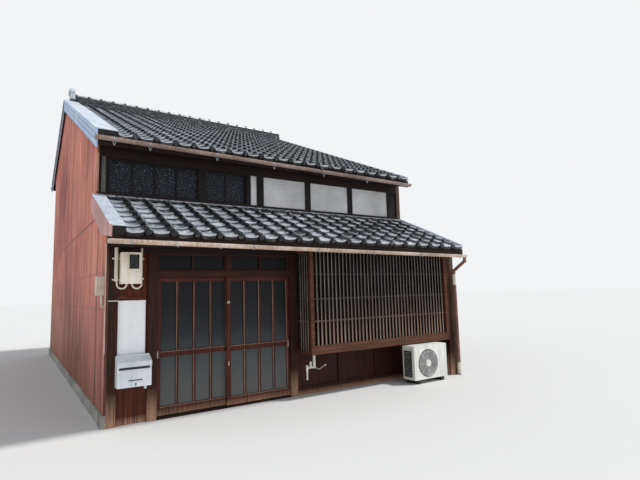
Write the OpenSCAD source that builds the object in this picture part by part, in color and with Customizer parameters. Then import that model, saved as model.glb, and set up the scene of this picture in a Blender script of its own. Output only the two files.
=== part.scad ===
// Two-storey timber townhouse with a pent roof over the street front, a projecting
// lattice bay, a pair of sliding entrance doors and a low upper storey set back.
// Millimetres. X runs along the street front, Y into the house, Z up.
// House coordinates start at the outer face of the gable cladding and at the
// entrance line; place() moves them so that the origin is under the middle.

/* [House] */
// Width of the street front
house_w = 6060; // [5700:10:6500]
// Depth from the entrance line to the rear wall's outer face
house_d = 9450; // [8600:10:10500]
// Thickness of the gable and rear wall cores
wall_t = 100; // [80:5:140]
// Thickness of the party wall
party_t = 90; // [70:5:140]
// How far the gable's cladding stays behind the front of the corner posts
clad_back = 60; // [0:5:100]
// Thickness of the ribbed sheet cladding over its ribs
clad_t = 25; // [18:1:40]
// Depth of one cladding rib
rib_h = 10; // [6:1:14]
// Distance from rib to rib
rib_pitch = 90; // [60:5:150]
// Height of the concrete footing strip
footing_h = 160; // [120:5:220]
// How far the footing stands out past the cladding
footing_out = 20; // [0:5:40]
// Height of the ground floor
floor_h = 40; // [20:5:60]
// Width and depth of the posts
post_w = 120; // [100:5:140]

/* [Entrance] */
// Left edge of the door opening
door_x = 642; // [560:2:700]
// Width of the door opening
door_w = 2030; // [1800:10:2200]
// Height of the head rail's underside
door_h = 1855; // [1780:5:1950]
// Height of the head rail
head_h = 85; // [60:5:110]
// Height of the transom window over the head rail
transom_h = 240; // [180:5:280]
// Thickness of a door leaf
leaf_t = 33; // [28:1:40]
// Free space between the two leaves and beside them
leaf_gap = 12; // [8:1:20]
// How far the closed leaves lie over each other
leaf_overlap = 50; // [30:5:80]
// Side clearance between a leaf and the post it meets
leaf_side = 6; // [5:1:10]
// Free height under a leaf, over its threshold
leaf_lift = 11; // [9:1:16]
// Width of a leaf's stiles
stile_w = 50; // [40:2:70]
// Centre height of the leaf's middle rail
mid_rail_z = 828; // [700:5:950]
// Height of the leaf's middle rail
mid_rail_h = 62; // [40:2:90]
// Height of the leaf's bottom rail
low_rail_h = 110; // [80:5:150]
// Height of the leaf's top rail
top_rail_h = 48; // [36:2:70]
// Width of a glazing bar in a leaf
bar_w = 24; // [16:1:32]
// Columns of glass in a leaf
leaf_cols = 4; // [2:1:6]
// Thickness of the window and door glass
glass_t = 5; // [3:1:8]
// Radius of the rollers under a leaf
roller_r = 15; // [12:1:20]

/* [Lattice bay] */
// Distance from the post beside the door to the bay's left face
bay_side = 18; // [8:1:60]
// How far the bay stands out from the entrance line
bay_out = 401; // [320:1:480]
// Underside of the bay's bottom rail
bay_z = 652; // [560:2:720]
// Height of the bay's bottom rail
bay_rail_h = 133; // [90:1:160]
// Depth of the bay's rails
bay_rail_d = 60; // [45:5:80]
// Width of the bay's corner posts
bay_post = 60; // [45:5:80]
// Distance from bar to bar in the lattice
lattice_pitch = 73; // [60:1:100]
// Width of a lattice bar
lattice_w = 26; // [18:1:36]
// Depth of a lattice bar
lattice_d = 30; // [20:1:40]
// Height of a cross rail in the lattice
cross_h = 24; // [16:1:36]
// Heights of the lattice's cross rails
cross_z = [1150, 1490, 1870];

/* [Pent roof] */
// Slope of the pent roof in degrees
pent_pitch = 24; // [20:0.5:28]
// Tile top where the pent roof meets the upper wall
pent_head_z = 3120; // [3060:5:3180]
// How far the pent roof's boards reach in front of the entrance line
pent_out = 630; // [560:5:740]
// How far the tiles pass the boards at the eaves
tile_out = 50; // [30:5:70]

/* [Upper storey] */
// Front face of the upper wall
upper_y = 973; // [900:1:1050]
// Top of the upper floor
upper_floor_z = 2750; // [2700:5:2800]
// Underside of the beam that carries the upper wall
upper_beam_z = 2900; // [2860:5:2950]
// Top of the window sill rail
upper_sill_z = 3153; // [3140:1:3200]
// Height of the sill rail
upper_sill_h = 53; // [40:1:60]
// Top of the windows and plaster panels
upper_head_z = 3692; // [3600:2:3760]
// Left edge of the post between the upper windows
upper_mid_x = 1530; // [1450:5:1600]
// Widths of the upper wall's posts after the corner post, left to right
upper_post_w = [129, 94, 129, 112, 108, 120];
// Widths of the plaster panels, left to right
upper_panel_w = [126, 891, 902, 956];
// Width of the narrow board field beside the party wall
upper_end_w = 146; // [60:2:200]

/* [Main roof] */
// Slope of the front side in degrees
main_pitch = 24; // [20:0.5:28]
// Slope of the rear side in degrees
rear_pitch = 22.5; // [20:0.5:26]
// Distance of the ridge from the entrance line
ridge_y = 6480; // [5800:10:6900]
// Height of the roof boards at the ridge
ridge_deck_z = 6503; // [6300:5:6700]
// How far the roof boards reach in front of the upper wall
main_out = 270; // [240:1:400]
// How far the roof boards reach past the rear wall
rear_out = 450; // [300:10:600]
// How far the roof passes the gable cladding
verge_out = 45; // [30:5:120]
// Height of the roof boards, measured plumb
deck_v = 26; // [18:1:34]
// Height of the rafters, measured plumb
rafter_v = 76; // [60:2:100]
// Width of a rafter
rafter_w = 45; // [36:1:60]
// Distance from rafter to rafter
rafter_pitch = 455; // [303:1:600]
// Depth of the eave boards
eave_board_h = 130; // [100:5:160]
// Thickness of eave boards and verge boards
board_t = 25; // [18:1:32]

/* [Tiles] */
// Cover width of one tile
tile_w = 300; // [260:1:330]
// Thickness of the tile bed under the pans
tile_base = 15; // [12:1:24]
// Depth of the pan
pan_h = 18; // [12:1:26]
// Height of the roll
roll_h = 28; // [18:1:36]
// Share of the tile's width that the roll takes
roll_share = 0.36; // [0.3:0.02:0.5]
// Width of the flashing that covers the tiles' left edge on the pent roof
pent_flash_w = 175; // [140:5:240]
// Width of the flashing that covers the tiles' left edge on the main roof
main_flash_w = 300; // [240:5:380]
// Width of the flashing along the party wall side
side_flash_w = 70; // [50:5:120]
// How far that flashing stands over the tiles
side_flash_up = 30; // [15:1:60]
// Depth of the pent roof's verge board below the tiles' tops, and its height at the cut front end
pent_verge_h = 270; // [200:5:320]
pent_verge_end = 140; // [100:5:200]
// Length over which its lower edge is cut back towards the front
pent_verge_cut = 635; // [300:5:800]
// How far the flashing stands over the tiles: at the pent roof's wall and eave, on the main roof
verge_up = [12, 50, 50];
// Depth of the main roof's verge board
barge_h = 290; // [200:5:330]
// Width of the ridge's lowest course
ridge_w = 290; // [240:5:340]
// Height of one ridge course
ridge_course_h = 55; // [35:1:65]
// Radius of the ridge's round cap tile
ridge_cap_r = 78; // [60:1:95]

/* [Rainwater] */
// Radius of a gutter
gutter_r = 52; // [45:1:65]
// Thickness of the gutter's wall
gutter_t = 3; // [2:0.5:5]
// How far a gutter passes the gable cladding
gutter_side = 95; // [60:5:130]
// Free space between a gutter and the board behind it
gutter_back = 12; // [8:1:20]
// Height of the pent roof gutter's lip at its left end
pent_gutter_z = 2267; // [2240:1:2290]
// Height of the main roof's front gutter lip at its left end
main_gutter_z = 3892; // [3860:1:3920]
// Fall of a front gutter over its length
gutter_fall = 60; // [0:5:80]
// Distance between gutter brackets
bracket_pitch = 1045; // [600:5:1200]
// Distance of the second bracket from the gutter's left end
bracket_x = 750; // [300:10:900]
// Radius of the downpipe
pipe_r = 30; // [25:1:38]

/* [Fittings] */
// Size of the letter box: width, depth and rear height
mail = [410, 150, 370];
// Left face and underside of the letter box
mail_x = 130; // [110:2:170]
mail_z = 485; // [430:5:540]
// Height of the letter box at its front
mail_front_h = 300; // [250:5:340]
// Thickness of the letter box's sheet
mail_t = 3; // [2:0.5:5]
// Size of the meter box
meter = [242, 190, 400];
// Left face of the meter box
meter_x = 158; // [152:2:170]
// Free height between the meter box and the front beam
meter_drop = 10; // [5:1:40]
// Width and height of the meter's window, and its distance from the box's left and upper edges
meter_window = [106, 166];
meter_window_at = [98, 38];
// Height of the rail across the panel left of the door, and its underside
panel_rail_h = 40; // [30:2:60]
panel_rail_z = 1560; // [1480:5:1620]
// Size of the junction box on the gable: out from the wall, along the wall, height
junction = [84, 200, 240];
// Distance of the junction box from the entrance line, and its underside
junction_y = 60; // [30:5:120]
junction_z = 1630; // [1560:5:1700]
// Size of the cooling unit
cooler = [792, 280, 565];
// Left face of the cooling unit
cooler_x = 4712; // [4500:4:4900]
// Free space between the cooling unit and the wall behind it
cooler_back = 336; // [150:2:400]
// Height of the cooling unit's feet
cooler_foot = 68; // [50:2:90]
// Radius of the cooling unit's fan grille
grille_r = 235; // [200:5:250]

/* [Hidden] */

// Parts that lie on each other without touching leave this much
seat = 0.3;
// Strips of one node that follow each other leave this joint
joint = 1;
// Thickness of a gutter bracket's strap
strap_t = 3;

end_post_x1 = house_w - party_t;
end_post_x0 = end_post_x1 - 110;
door_x1 = door_x + door_w;
door_post_x1 = door_x1 + post_w;
bay_x = door_post_x1 + bay_side;
left_post_x = door_x - post_w;
room_x0 = clad_t + wall_t;
room_x1 = house_w - party_t;
room_y1 = house_d - clad_t - wall_t;
bay_x1 = end_post_x0;
mid_post_x = (door_post_x1 + end_post_x0) / 2 - post_w / 2;

tile_h = tile_base + pan_h + roll_h;
function tile_v(pitch) = tile_h / cos(pitch);
function pent_deck_top(y) = pent_head_z - tile_v(pent_pitch) + (y - upper_y) * tan(pent_pitch);
function pent_soffit(y) = pent_deck_top(y) - deck_v - seat;
function pent_under(y) = pent_soffit(y) - rafter_v;
function main_deck_top(y) = ridge_deck_z + (y - ridge_y) * tan(main_pitch);
function main_soffit(y) = main_deck_top(y) - deck_v - seat;
function main_under(y) = main_soffit(y) - rafter_v;
function rear_deck_top(y) = ridge_deck_z - (y - ridge_y) * tan(rear_pitch);
function rear_soffit(y) = rear_deck_top(y) - deck_v - seat;
function rear_under(y) = rear_soffit(y) - rafter_v;

main_eave_y = upper_y - main_out;
rear_eave_y = house_d + rear_out;
front_beam_z = door_h + head_h + transom_h;
front_beam_top = pent_under(0);
meter_z = front_beam_z - meter_drop - meter[2];
upper_beam_top = main_under(upper_y);

// Extent of the whole house, for the origin under its middle
gutter_len = house_w + gutter_side - 10;
gutter_angle = atan(gutter_fall / gutter_len);
x_min = -gutter_side - gutter_r * sin(gutter_angle);
y_min = -pent_out - board_t - gutter_back - 2 * gutter_r - seat - strap_t;
y_max = rear_eave_y + board_t + gutter_back + 2 * gutter_r + seat + strap_t;

module place() {
    translate([-(x_min + house_w) / 2, -(y_min + y_max) / 2, 0]) children();
}

// A profile drawn in Y and Z, run along X
module along_x(x0, x1) {
    translate([x0, 0, 0]) rotate([90, 0, 90]) linear_extrude(x1 - x0) children();
}

// A box from its lowest to its highest corner
module span(a, b) {
    translate(a) cube(b - a);
}

module footings() {
    color("darkgray") {
        span([-footing_out, 0, 0], [clad_t, house_d + footing_out, footing_h]);
        span([-footing_out, post_w, 0], [room_x0, house_d + footing_out, footing_h]);
        span([room_x0 + joint, room_y1, 0], [room_x1 - joint, house_d + footing_out, footing_h]);
    }
}

module ground_floor() {
    color("gray") span([room_x0 + joint, post_w, 0], [room_x1, room_y1, floor_h]);
}

// Gable outline over the footing, open for the front posts and the upper beam
module gable_outline(y0, z0) {
    y2 = upper_y + post_w;
    polygon([
        [y0, z0], [room_y1, z0], [room_y1, rear_soffit(room_y1)], [ridge_y, main_soffit(ridge_y)],
        [y2, main_soffit(y2)], [y2, upper_beam_z], [upper_y, upper_beam_z],
        [upper_y, pent_soffit(upper_y)], [y0, pent_soffit(y0)]
    ]);
}

module gable_wall() {
    color("tan") along_x(clad_t, room_x0) gable_outline(post_w, footing_h);
}

// Outer outline of a side, from y0 on the ground floor and y1 on the upper storey
module side_outline(y0, y1, z0) {
    polygon([
        [y0, z0], [house_d, z0], [house_d, rear_soffit(house_d)], [ridge_y, main_soffit(ridge_y)],
        [y1, main_soffit(y1)], [y1, pent_soffit(y1)], [y0, pent_soffit(y0)]
    ]);
}

// Ribbed sheet profile: x along the sheet, y outwards
module rib_profile(length) {
    n = floor((length - 20) / rib_pitch);
    base = clad_t - rib_h;
    square([length, base]);
    for (i = [0 : n - 1])
        translate([10 + i * rib_pitch, base - 0.01])
            polygon([[0, 0], [rib_pitch * 0.6, 0], [rib_pitch * 0.5, rib_h], [rib_pitch * 0.1, rib_h]]);
}

module gable_cladding() {
    color([0.55, 0.28, 0.22]) intersection() {
        along_x(0, clad_t) side_outline(clad_back, upper_y + clad_back, footing_h + seat);
        translate([clad_t, 0, 0]) rotate([0, 0, 90]) linear_extrude(ridge_deck_z) rib_profile(house_d);
    }
}

module party_wall() {
    color("saddlebrown") along_x(room_x1, house_w) side_outline(-bay_out, upper_y, 0);
}

rear_win = [900, 820];
rear_win_x = [1200, 3900];
rear_win_z = [1000, 3450];

module rear_holes(y0, y1) {
    for (x = rear_win_x, z = rear_win_z) span([x, y0, z], [x + rear_win[0], y1, z + rear_win[1]]);
}

module rear_wall() {
    color("tan") difference() {
        span([room_x0 + joint, room_y1, footing_h], [room_x1, room_y1 + wall_t, rear_under(house_d)]);
        rear_holes(room_y1 - 1, house_d + 1);
    }
}

module rear_cladding() {
    y0 = room_y1 + wall_t;
    color([0.55, 0.28, 0.22]) difference() {
        translate([room_x1 - joint, y0, footing_h + seat]) mirror([1, 0, 0])
            linear_extrude(rear_under(house_d + clad_t) - footing_h) rib_profile(room_x1 - clad_t - 2 * joint);
        rear_holes(y0 - 1, house_d + 1);
    }
}

// A window frame of given size with one glazing bar across the middle, front face at y = 0
module sash(w, h, cols, rows, depth, edge, bar) {
    cw = (w - 2 * edge - (cols - 1) * bar) / cols;
    rh = (h - 2 * edge - (rows - 1) * bar) / rows;
    difference() {
        cube([w, depth, h]);
        for (i = [0 : cols - 1], j = [0 : rows - 1])
            translate([edge + i * (cw + bar), -1, edge + j * (rh + bar)]) cube([cw, depth + 2, rh]);
    }
}

// The panes that fill a sash
module panes(w, h, cols, rows, depth, edge, bar) {
    cw = (w - 2 * edge - (cols - 1) * bar) / cols;
    rh = (h - 2 * edge - (rows - 1) * bar) / rows;
    for (i = [0 : cols - 1], j = [0 : rows - 1])
        translate([edge + i * (cw + bar), (depth - glass_t) / 2, edge + j * (rh + bar)])
            cube([cw, glass_t, rh]);
}

module rear_windows() {
    color("silver") for (x = rear_win_x, z = rear_win_z)
        translate([x, room_y1 + 20, z]) sash(rear_win[0], rear_win[1], 2, 1, 60, 40, 30);
}

module rear_glass() {
    color("lightblue") for (x = rear_win_x, z = rear_win_z)
        translate([x, room_y1 + 20, z]) panes(rear_win[0], rear_win[1], 2, 1, 60, 40, 30);
}

module upper_floor() {
    color("burlywood") span([room_x0, upper_y, upper_floor_z - 60], [room_x1, room_y1, upper_floor_z]);
}

module front_posts() {
    color([0.3, 0.16, 0.1]) {
        for (x = [clad_t, left_post_x, door_x1])
            span([x, 0, 0], [x + post_w, post_w, front_beam_z]);
        for (x = [mid_post_x, end_post_x0])
            span([x, 0, bay_z + bay_rail_h], [x + min(post_w, room_x1 - x), post_w, front_beam_z]);
        span([end_post_x0, -bay_out, 0], [end_post_x1, -bay_out + post_w, bay_top_z]);
    }
}

module front_beam() {
    color([0.25, 0.14, 0.09]) span([clad_t, 0, front_beam_z], [room_x1, post_w, front_beam_top]);
}

module left_panel() {
    color([0.35, 0.17, 0.11]) {
        span([clad_t + post_w, 40, 0], [left_post_x, 70, panel_rail_z]);
        span([clad_t + post_w, 20, panel_rail_z + joint], [left_post_x, 90, panel_rail_z + panel_rail_h]);
        span([clad_t + post_w, 40, panel_rail_z + panel_rail_h + joint], [left_post_x, 70, front_beam_z]);
    }
}

module notice_sheet() {
    color("white") span([clad_t + post_w + 12, 34, 855], [left_post_x - 25, 40, 1556]);
}

outer_leaf_y = 26;
inner_leaf_y = outer_leaf_y + leaf_t + leaf_gap;
leaf_w = (door_w - 2 * leaf_side + leaf_overlap) / 2;
threshold_h = 20;
rail_h = 3;
leaf_z = threshold_h + leaf_lift;
tongue_h = 14;
tongue_t = 15;
leaf_h = door_h - 8 - leaf_z;
leaf_travel = door_w - 2 * leaf_side - leaf_w;

module door_track() {
    color([0.4, 0.25, 0.16]) {
        span([door_x, 0, 0], [door_x1, post_w, threshold_h]);
        for (y = [outer_leaf_y, inner_leaf_y])
            span([door_x, y + leaf_t / 2 - 3, threshold_h - 1], [door_x1, y + leaf_t / 2 + 3, threshold_h + rail_h]);
    }
}

transom_w = (door_w - 60) / 2;

module door_head() {
    color([0.3, 0.16, 0.1]) difference() {
        span([door_x, 0, door_h], [door_x1, post_w, door_h + head_h]);
        for (y = [outer_leaf_y, inner_leaf_y])
            span([door_x - 1, y + (leaf_t - tongue_t) / 2 - 6, door_h - 1],
                 [door_x1 + 1, y + (leaf_t + tongue_t) / 2 + 6, door_h + tongue_h + 6]);
    }
    color([0.3, 0.16, 0.1]) {
        for (x = [door_x, door_x1 - transom_w])
            translate([x, 30, door_h + head_h]) sash(transom_w, transom_h, 2, 1, 60, 25, 26);
        span([door_x + transom_w - 1, 15, door_h + head_h],
             [door_x1 - transom_w + 1, post_w, door_h + head_h + transom_h]);
    }
}

module transom_glass() {
    color("slategray") for (x = [door_x, door_x1 - transom_w])
        translate([x, 30, door_h + head_h]) panes(transom_w, transom_h, 2, 1, 60, 25, 26);
}

leaf_cell_w = (leaf_w - 2 * stile_w - (leaf_cols - 1) * bar_w) / leaf_cols;
leaf_rows = [[low_rail_h, mid_rail_z - mid_rail_h / 2 - leaf_z],
             [mid_rail_z + mid_rail_h / 2 - leaf_z, leaf_h - top_rail_h]];

module leaf_frame() {
    difference() {
        union() {
            cube([leaf_w, leaf_t, leaf_h]);
            translate([0, (leaf_t - tongue_t) / 2, leaf_h - 1]) cube([leaf_w, tongue_t, tongue_h + 1]);
            for (x = [leaf_w * 0.15, leaf_w * 0.85])
                translate([x, leaf_t / 2 + 5, threshold_h + rail_h + seat + roller_r - leaf_z])
                    rotate([90, 0, 0]) cylinder(r = roller_r, h = 10, $fn = 32);
        }
        for (i = [0 : leaf_cols - 1], r = leaf_rows)
            translate([stile_w + i * (leaf_cell_w + bar_w), -1, r[0]])
                cube([leaf_cell_w, leaf_t + 2, r[1] - r[0]]);
    }
}

module leaf_panes() {
    for (i = [0 : leaf_cols - 1], r = leaf_rows)
        translate([stile_w + i * (leaf_cell_w + bar_w), (leaf_t - glass_t) / 2, r[0]])
            cube([leaf_cell_w, glass_t, r[1] - r[0]]);
}

module left_leaf_place() {
    translate([door_x + leaf_side, inner_leaf_y, leaf_z]) children();
}

module right_leaf_place() {
    translate([door_x1 - leaf_side - leaf_w, outer_leaf_y, leaf_z]) children();
}

module left_door() {
    color([0.36, 0.18, 0.11]) left_leaf_place() leaf_frame();
}

module left_door_glass() {
    color([0.5, 0.58, 0.62]) left_leaf_place() leaf_panes();
}

module right_door() {
    color([0.36, 0.18, 0.11]) right_leaf_place() leaf_frame();
}

module right_door_glass() {
    color([0.5, 0.58, 0.62]) right_leaf_place() leaf_panes();
}

module wainscot() {
    n = 4;
    w = room_x1 - door_post_x1;
    color([0.3, 0.16, 0.1]) difference() {
        span([door_post_x1, 0, 0], [room_x1, 60, bay_z]);
        for (i = [0 : n - 1])
            span([door_post_x1 + 40 + i * (w - 40) / n, -1, 120],
                 [door_post_x1 + (i + 1) * (w - 40) / n, 22, bay_z - 40]);
    }
    color([0.3, 0.16, 0.1])
        span([door_post_x1, 0, bay_z + joint / 2], [room_x1, post_w, bay_z + bay_rail_h]);
}

sash_w = mid_post_x - door_post_x1;

module bay_sashes() {
    z = bay_z + bay_rail_h;
    color([0.3, 0.18, 0.12]) for (x = [door_post_x1, mid_post_x + post_w])
        translate([x, 30, z]) sash(sash_w, front_beam_z - z, 4, 3, 40, 40, 24);
}

module bay_glass() {
    z = bay_z + bay_rail_h;
    color("dimgray") for (x = [door_post_x1, mid_post_x + post_w])
        translate([x, 30, z]) panes(sash_w, front_beam_z - z, 4, 3, 40, 40, 24);
}

bay_top_z = pent_under(-bay_out);
bay_rail_top = bay_z + bay_rail_h;
bay_head_z = bay_top_z - 120;
bay_board_t = 40;

module bay_frame() {
    back = -bay_out + bay_rail_d + joint;
    color([0.38, 0.2, 0.13]) {
        span([bay_x, -bay_out, bay_z], [bay_x1, -bay_out + bay_rail_d, bay_rail_top]);
        span([bay_x, back, bay_z], [bay_x1, 0, bay_z + bay_board_t]);
        span([bay_x, -bay_out, bay_head_z], [bay_x1, -bay_out + bay_rail_d, bay_top_z]);
        for (x = [bay_x, bay_x1 - bay_post]) {
            span([x, -bay_out, bay_rail_top + joint],
                 [x + bay_post, -bay_out + bay_rail_d, bay_head_z - joint]);
            span([x, back, bay_head_z], [x + bay_post, 0, bay_head_z + bay_post]);
        }
    }
}

// A lattice in the XZ plane: bars from z0 to z1, cross rails let into their backs
module lattice(x0, x1, z0, z1, pitch) {
    n = round((x1 - x0) / pitch);
    step = (x1 - x0) / n;
    for (i = [1 : n - 1])
        translate([x0 + i * step - lattice_w / 2, 0, z0]) cube([lattice_w, lattice_d, z1 - z0]);
    for (z = cross_z)
        translate([x0, lattice_d * 0.4, z - cross_h / 2]) cube([x1 - x0, lattice_d * 0.6, cross_h]);
}

module bay_lattice() {
    color([0.3, 0.22, 0.17]) {
        translate([0, -bay_out + 15, 0])
            lattice(bay_x + bay_post, bay_x1 - bay_post, bay_rail_top, bay_head_z, lattice_pitch);
        for (x = [bay_x + 15, bay_x1 - 15 - lattice_d])
            translate([x + lattice_d, -bay_out + bay_rail_d, 0]) rotate([0, 0, 90])
                lattice(0, bay_out - bay_rail_d, bay_z + bay_board_t, bay_head_z, lattice_pitch);
    }
}

// Rafters run from y0 to y1 under a roof whose boards' underside is at s0 and s1 there
module rafters(y0, y1, s0, s1) {
    n = floor((room_x1 - rafter_w - room_x0) / rafter_pitch);
    step = (room_x1 - rafter_w - room_x0) / n;
    for (i = [0 : n])
        along_x(room_x0 + i * step, room_x0 + i * step + rafter_w)
            polygon([[y0, s0], [y0, s0 - rafter_v], [y1, s1 - rafter_v], [y1, s1]]);
}

module roof_rafters() {
    y0 = -pent_out;
    y1 = main_eave_y;
    y2 = ridge_y - joint;
    y3 = ridge_y + joint;
    y4 = rear_eave_y;
    color([0.25, 0.14, 0.09]) {
        rafters(y0, upper_y, pent_soffit(y0), pent_soffit(upper_y));
        rafters(y1, y2, main_soffit(y1), main_soffit(y2));
        rafters(y3, y4, rear_soffit(y3), rear_soffit(y4));
    }
}

// Roof boards from the eave to the head
module boards(y0, y1, z0, z1) {
    along_x(-verge_out, house_w) polygon([[y0, z0], [y0, z0 - deck_v], [y1, z1 - deck_v], [y1, z1]]);
}

// Height of the tile surface over the bed, for u from 0 to 1 across one tile
function tile_wave(u) = u < pan_share
    ? tile_base + pan_h - pan_h * sin(180 * u / pan_share)
    : tile_base + pan_h + roll_h * sin(180 * (u - pan_share) / roll_share);

pan_share = 1 - roll_share;
pan_u = [for (j = [0 : 5]) j / 6 * pan_share];
roll_u = [for (j = [0 : 5]) pan_share + j / 6 * roll_share];

// A field of tiles on a slope: x0 to x1, from a low point up the slope, with a pan at either side
module tile_field(x0, x1, y_low, z_low, pitch, length) {
    n = round((x1 - x0) / tile_w - pan_share);
    w = (x1 - x0) / (n + pan_share);
    crest = concat(
        [for (i = [0 : n - 1], u = concat(pan_u, roll_u)) [x0 + (i + u) * w, tile_wave(u)]],
        [for (u = concat(pan_u, [pan_share])) [x0 + (n + u) * w, tile_wave(u)]]
    );
    translate([0, y_low, z_low + seat]) rotate([pitch, 0, 0]) translate([0, length, 0])
        rotate([90, 0, 0]) linear_extrude(length)
            polygon(concat([[x1, 0], [x0, 0]], crest));
}

verge_end = 32;
tile_x1 = house_w - side_flash_w;
pent_flash_x = -verge_out - board_t + pent_flash_w;
pent_head_w = 110;

module pent_tiles() {
    y0 = -pent_out - tile_out;
    y1 = upper_y - pent_head_w;
    color([0.13, 0.13, 0.15]) {
        tile_field(pent_flash_x, tile_x1, y0, pent_deck_top(y0), pent_pitch, (y1 - y0) / cos(pent_pitch));
        along_x(pent_flash_x, min(room_x1, tile_x1)) polygon([
            [upper_y - pent_head_w + 20, pent_deck_top(upper_y - pent_head_w + 20) + seat],
            [upper_y, pent_deck_top(upper_y) + seat], [upper_y, upper_sill_z - upper_sill_h],
            [upper_y - pent_head_w + 20, upper_sill_z - upper_sill_h - 25]
        ]);
    }
}

pent_verge_y0 = -pent_out - verge_end;
pent_verge_y1 = upper_y - 35;
function pent_tile_top(y) = pent_deck_top(y) + tile_v(pent_pitch);
function pent_verge_low(y) = pent_tile_top(y) - pent_verge_h;

// Outline of the pent roof's verge: its top is less steep than the tiles
pent_verge_top = [
    [pent_verge_y0, pent_tile_top(pent_verge_y0) + verge_up[1]],
    [pent_verge_y1, pent_tile_top(pent_verge_y1) + verge_up[0]]
];

module pent_verge_board() {
    y = pent_verge_y0 + pent_verge_cut;
    color([0.62, 0.4, 0.38]) along_x(-verge_out - board_t, -verge_out) polygon(concat(pent_verge_top, [
        [pent_verge_y1, pent_verge_low(pent_verge_y1)], [y, pent_verge_low(y)],
        pent_verge_top[0] - [0, pent_verge_end]
    ]));
}

module pent_verge_flashing() {
    up = [0, seat];
    color([0.78, 0.8, 0.84]) {
        along_x(-verge_out, pent_flash_x - seat) polygon(concat(pent_verge_top, [
            [pent_verge_y1, pent_deck_top(pent_verge_y1) + seat],
            [pent_verge_y0, pent_deck_top(pent_verge_y0) + seat]
        ]));
        along_x(-verge_out - board_t - 4, -verge_out + 1) polygon([
            pent_verge_top[0] + up, pent_verge_top[1] + up,
            pent_verge_top[1] + [0, 6], pent_verge_top[0] + [0, 6]
        ]);
    }
}

module upper_posts() {
    color([0.15, 0.1, 0.08]) {
        span([clad_t, upper_y, upper_sill_z], [clad_t + post_w, upper_y + post_w, upper_head_z]);
        for (i = [0 : len(upper_post_x) - 1])
            span([upper_post_x[i], upper_y, upper_sill_z],
                 [upper_post_x[i] + upper_post_w[i], upper_y + post_w, upper_head_z]);
        span([upper_post_x[5] + upper_post_w[5] + joint, upper_y + 30, upper_sill_z],
             [room_x1, upper_y + 60, upper_head_z]);
    }
}

module upper_beams() {
    color([0.18, 0.11, 0.08]) {
        span([clad_t, upper_y, upper_beam_z], [room_x1, upper_y + post_w, upper_sill_z]);
        span([clad_t, upper_y - 25, upper_sill_z - upper_sill_h], [room_x1, upper_y + 1, upper_sill_z]);
        span([clad_t, upper_y, upper_head_z], [room_x1, upper_y + post_w, upper_beam_top]);
    }
}

// Left edge of post i, counted back from the party wall
function upper_x(i) = i == 0 ? upper_mid_x
    : i == len(upper_post_w) - 1 ? room_x1 - upper_end_w - upper_post_w[i]
    : upper_x(i + 1) - upper_panel_w[i - 1] - upper_post_w[i];
upper_post_x = [for (i = [0 : len(upper_post_w) - 1]) upper_x(i)];

// Fields between the posts of the upper wall
upper_fields = [for (i = [1 : len(upper_post_x) - 2])
    [upper_post_x[i] + upper_post_w[i], upper_post_x[i + 1]]];

module upper_panels() {
    color("white") for (f = upper_fields)
        span([f[0], upper_y + 30, upper_sill_z], [f[1], upper_y + 90, upper_head_z]);
}

upper_win = [[clad_t + post_w, upper_post_x[0]], [upper_post_x[0] + upper_post_w[0], upper_post_x[1]]];
upper_cols = [4, 2];

module upper_sashes() {
    color([0.12, 0.09, 0.08]) {
        for (i = [0 : 1])
            translate([upper_win[i][0], upper_y + 30, upper_sill_z])
                sash(upper_win[i][1] - upper_win[i][0], upper_head_z - upper_sill_z, upper_cols[i], 1, 40, 30, 30);
    }
}

module upper_glass() {
    color([0.2, 0.22, 0.26]) for (i = [0 : 1])
        translate([upper_win[i][0], upper_y + 30, upper_sill_z])
            panes(upper_win[i][1] - upper_win[i][0], upper_head_z - upper_sill_z, upper_cols[i], 1, 40, 30, 30);
}

module roof_boards() {
    y0 = main_eave_y;
    y1 = ridge_y - joint / 2;
    y2 = ridge_y + joint / 2;
    y3 = rear_eave_y;
    color([0.35, 0.24, 0.17]) {
        boards(y0, y1, main_deck_top(y0), main_deck_top(y1));
        boards(y2, y3, rear_deck_top(y2), rear_deck_top(y3));
        boards(-pent_out, upper_y, pent_deck_top(-pent_out), pent_deck_top(upper_y));
    }
}

main_flash_x = -verge_out - board_t + main_flash_w;

module main_tiles() {
    y0 = main_eave_y - tile_out;
    y1 = ridge_y - ridge_w / 2;
    y2 = rear_eave_y + tile_out;
    y3 = ridge_y + ridge_w / 2;
    color([0.13, 0.13, 0.15]) {
        tile_field(main_flash_x, tile_x1, y0, main_deck_top(y0), main_pitch, (y1 - y0) / cos(main_pitch));
        translate([0, 2 * ridge_y, 0]) mirror([0, 1, 0])
            tile_field(main_flash_x, tile_x1, 2 * ridge_y - y2, rear_deck_top(y2), rear_pitch,
                       (y2 - y3) / cos(rear_pitch));
    }
}

// A strip along the party wall side, from a low point up to a high point of the boards
module side_strip(y0, z0, y1, z1) {
    h = tile_h + side_flash_up;
    along_x(tile_x1 + seat, house_w)
        polygon([[y0, z0 + seat], [y0, z0 + h], [y1, z1 + h], [y1, z1 + seat]]);
}

module side_flashing() {
    y0 = -pent_out - verge_end;
    y1 = upper_y - 35;
    y2 = main_eave_y - verge_end;
    y3 = ridge_y - ridge_w / 2;
    y4 = ridge_y + ridge_w / 2;
    y5 = rear_eave_y + verge_end;
    color([0.72, 0.74, 0.78]) {
        side_strip(y0, pent_deck_top(y0), y1, pent_deck_top(y1));
        side_strip(y2, main_deck_top(y2), y3, main_deck_top(y3));
        side_strip(y5, rear_deck_top(y5), y4, rear_deck_top(y4));
    }
}

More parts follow.
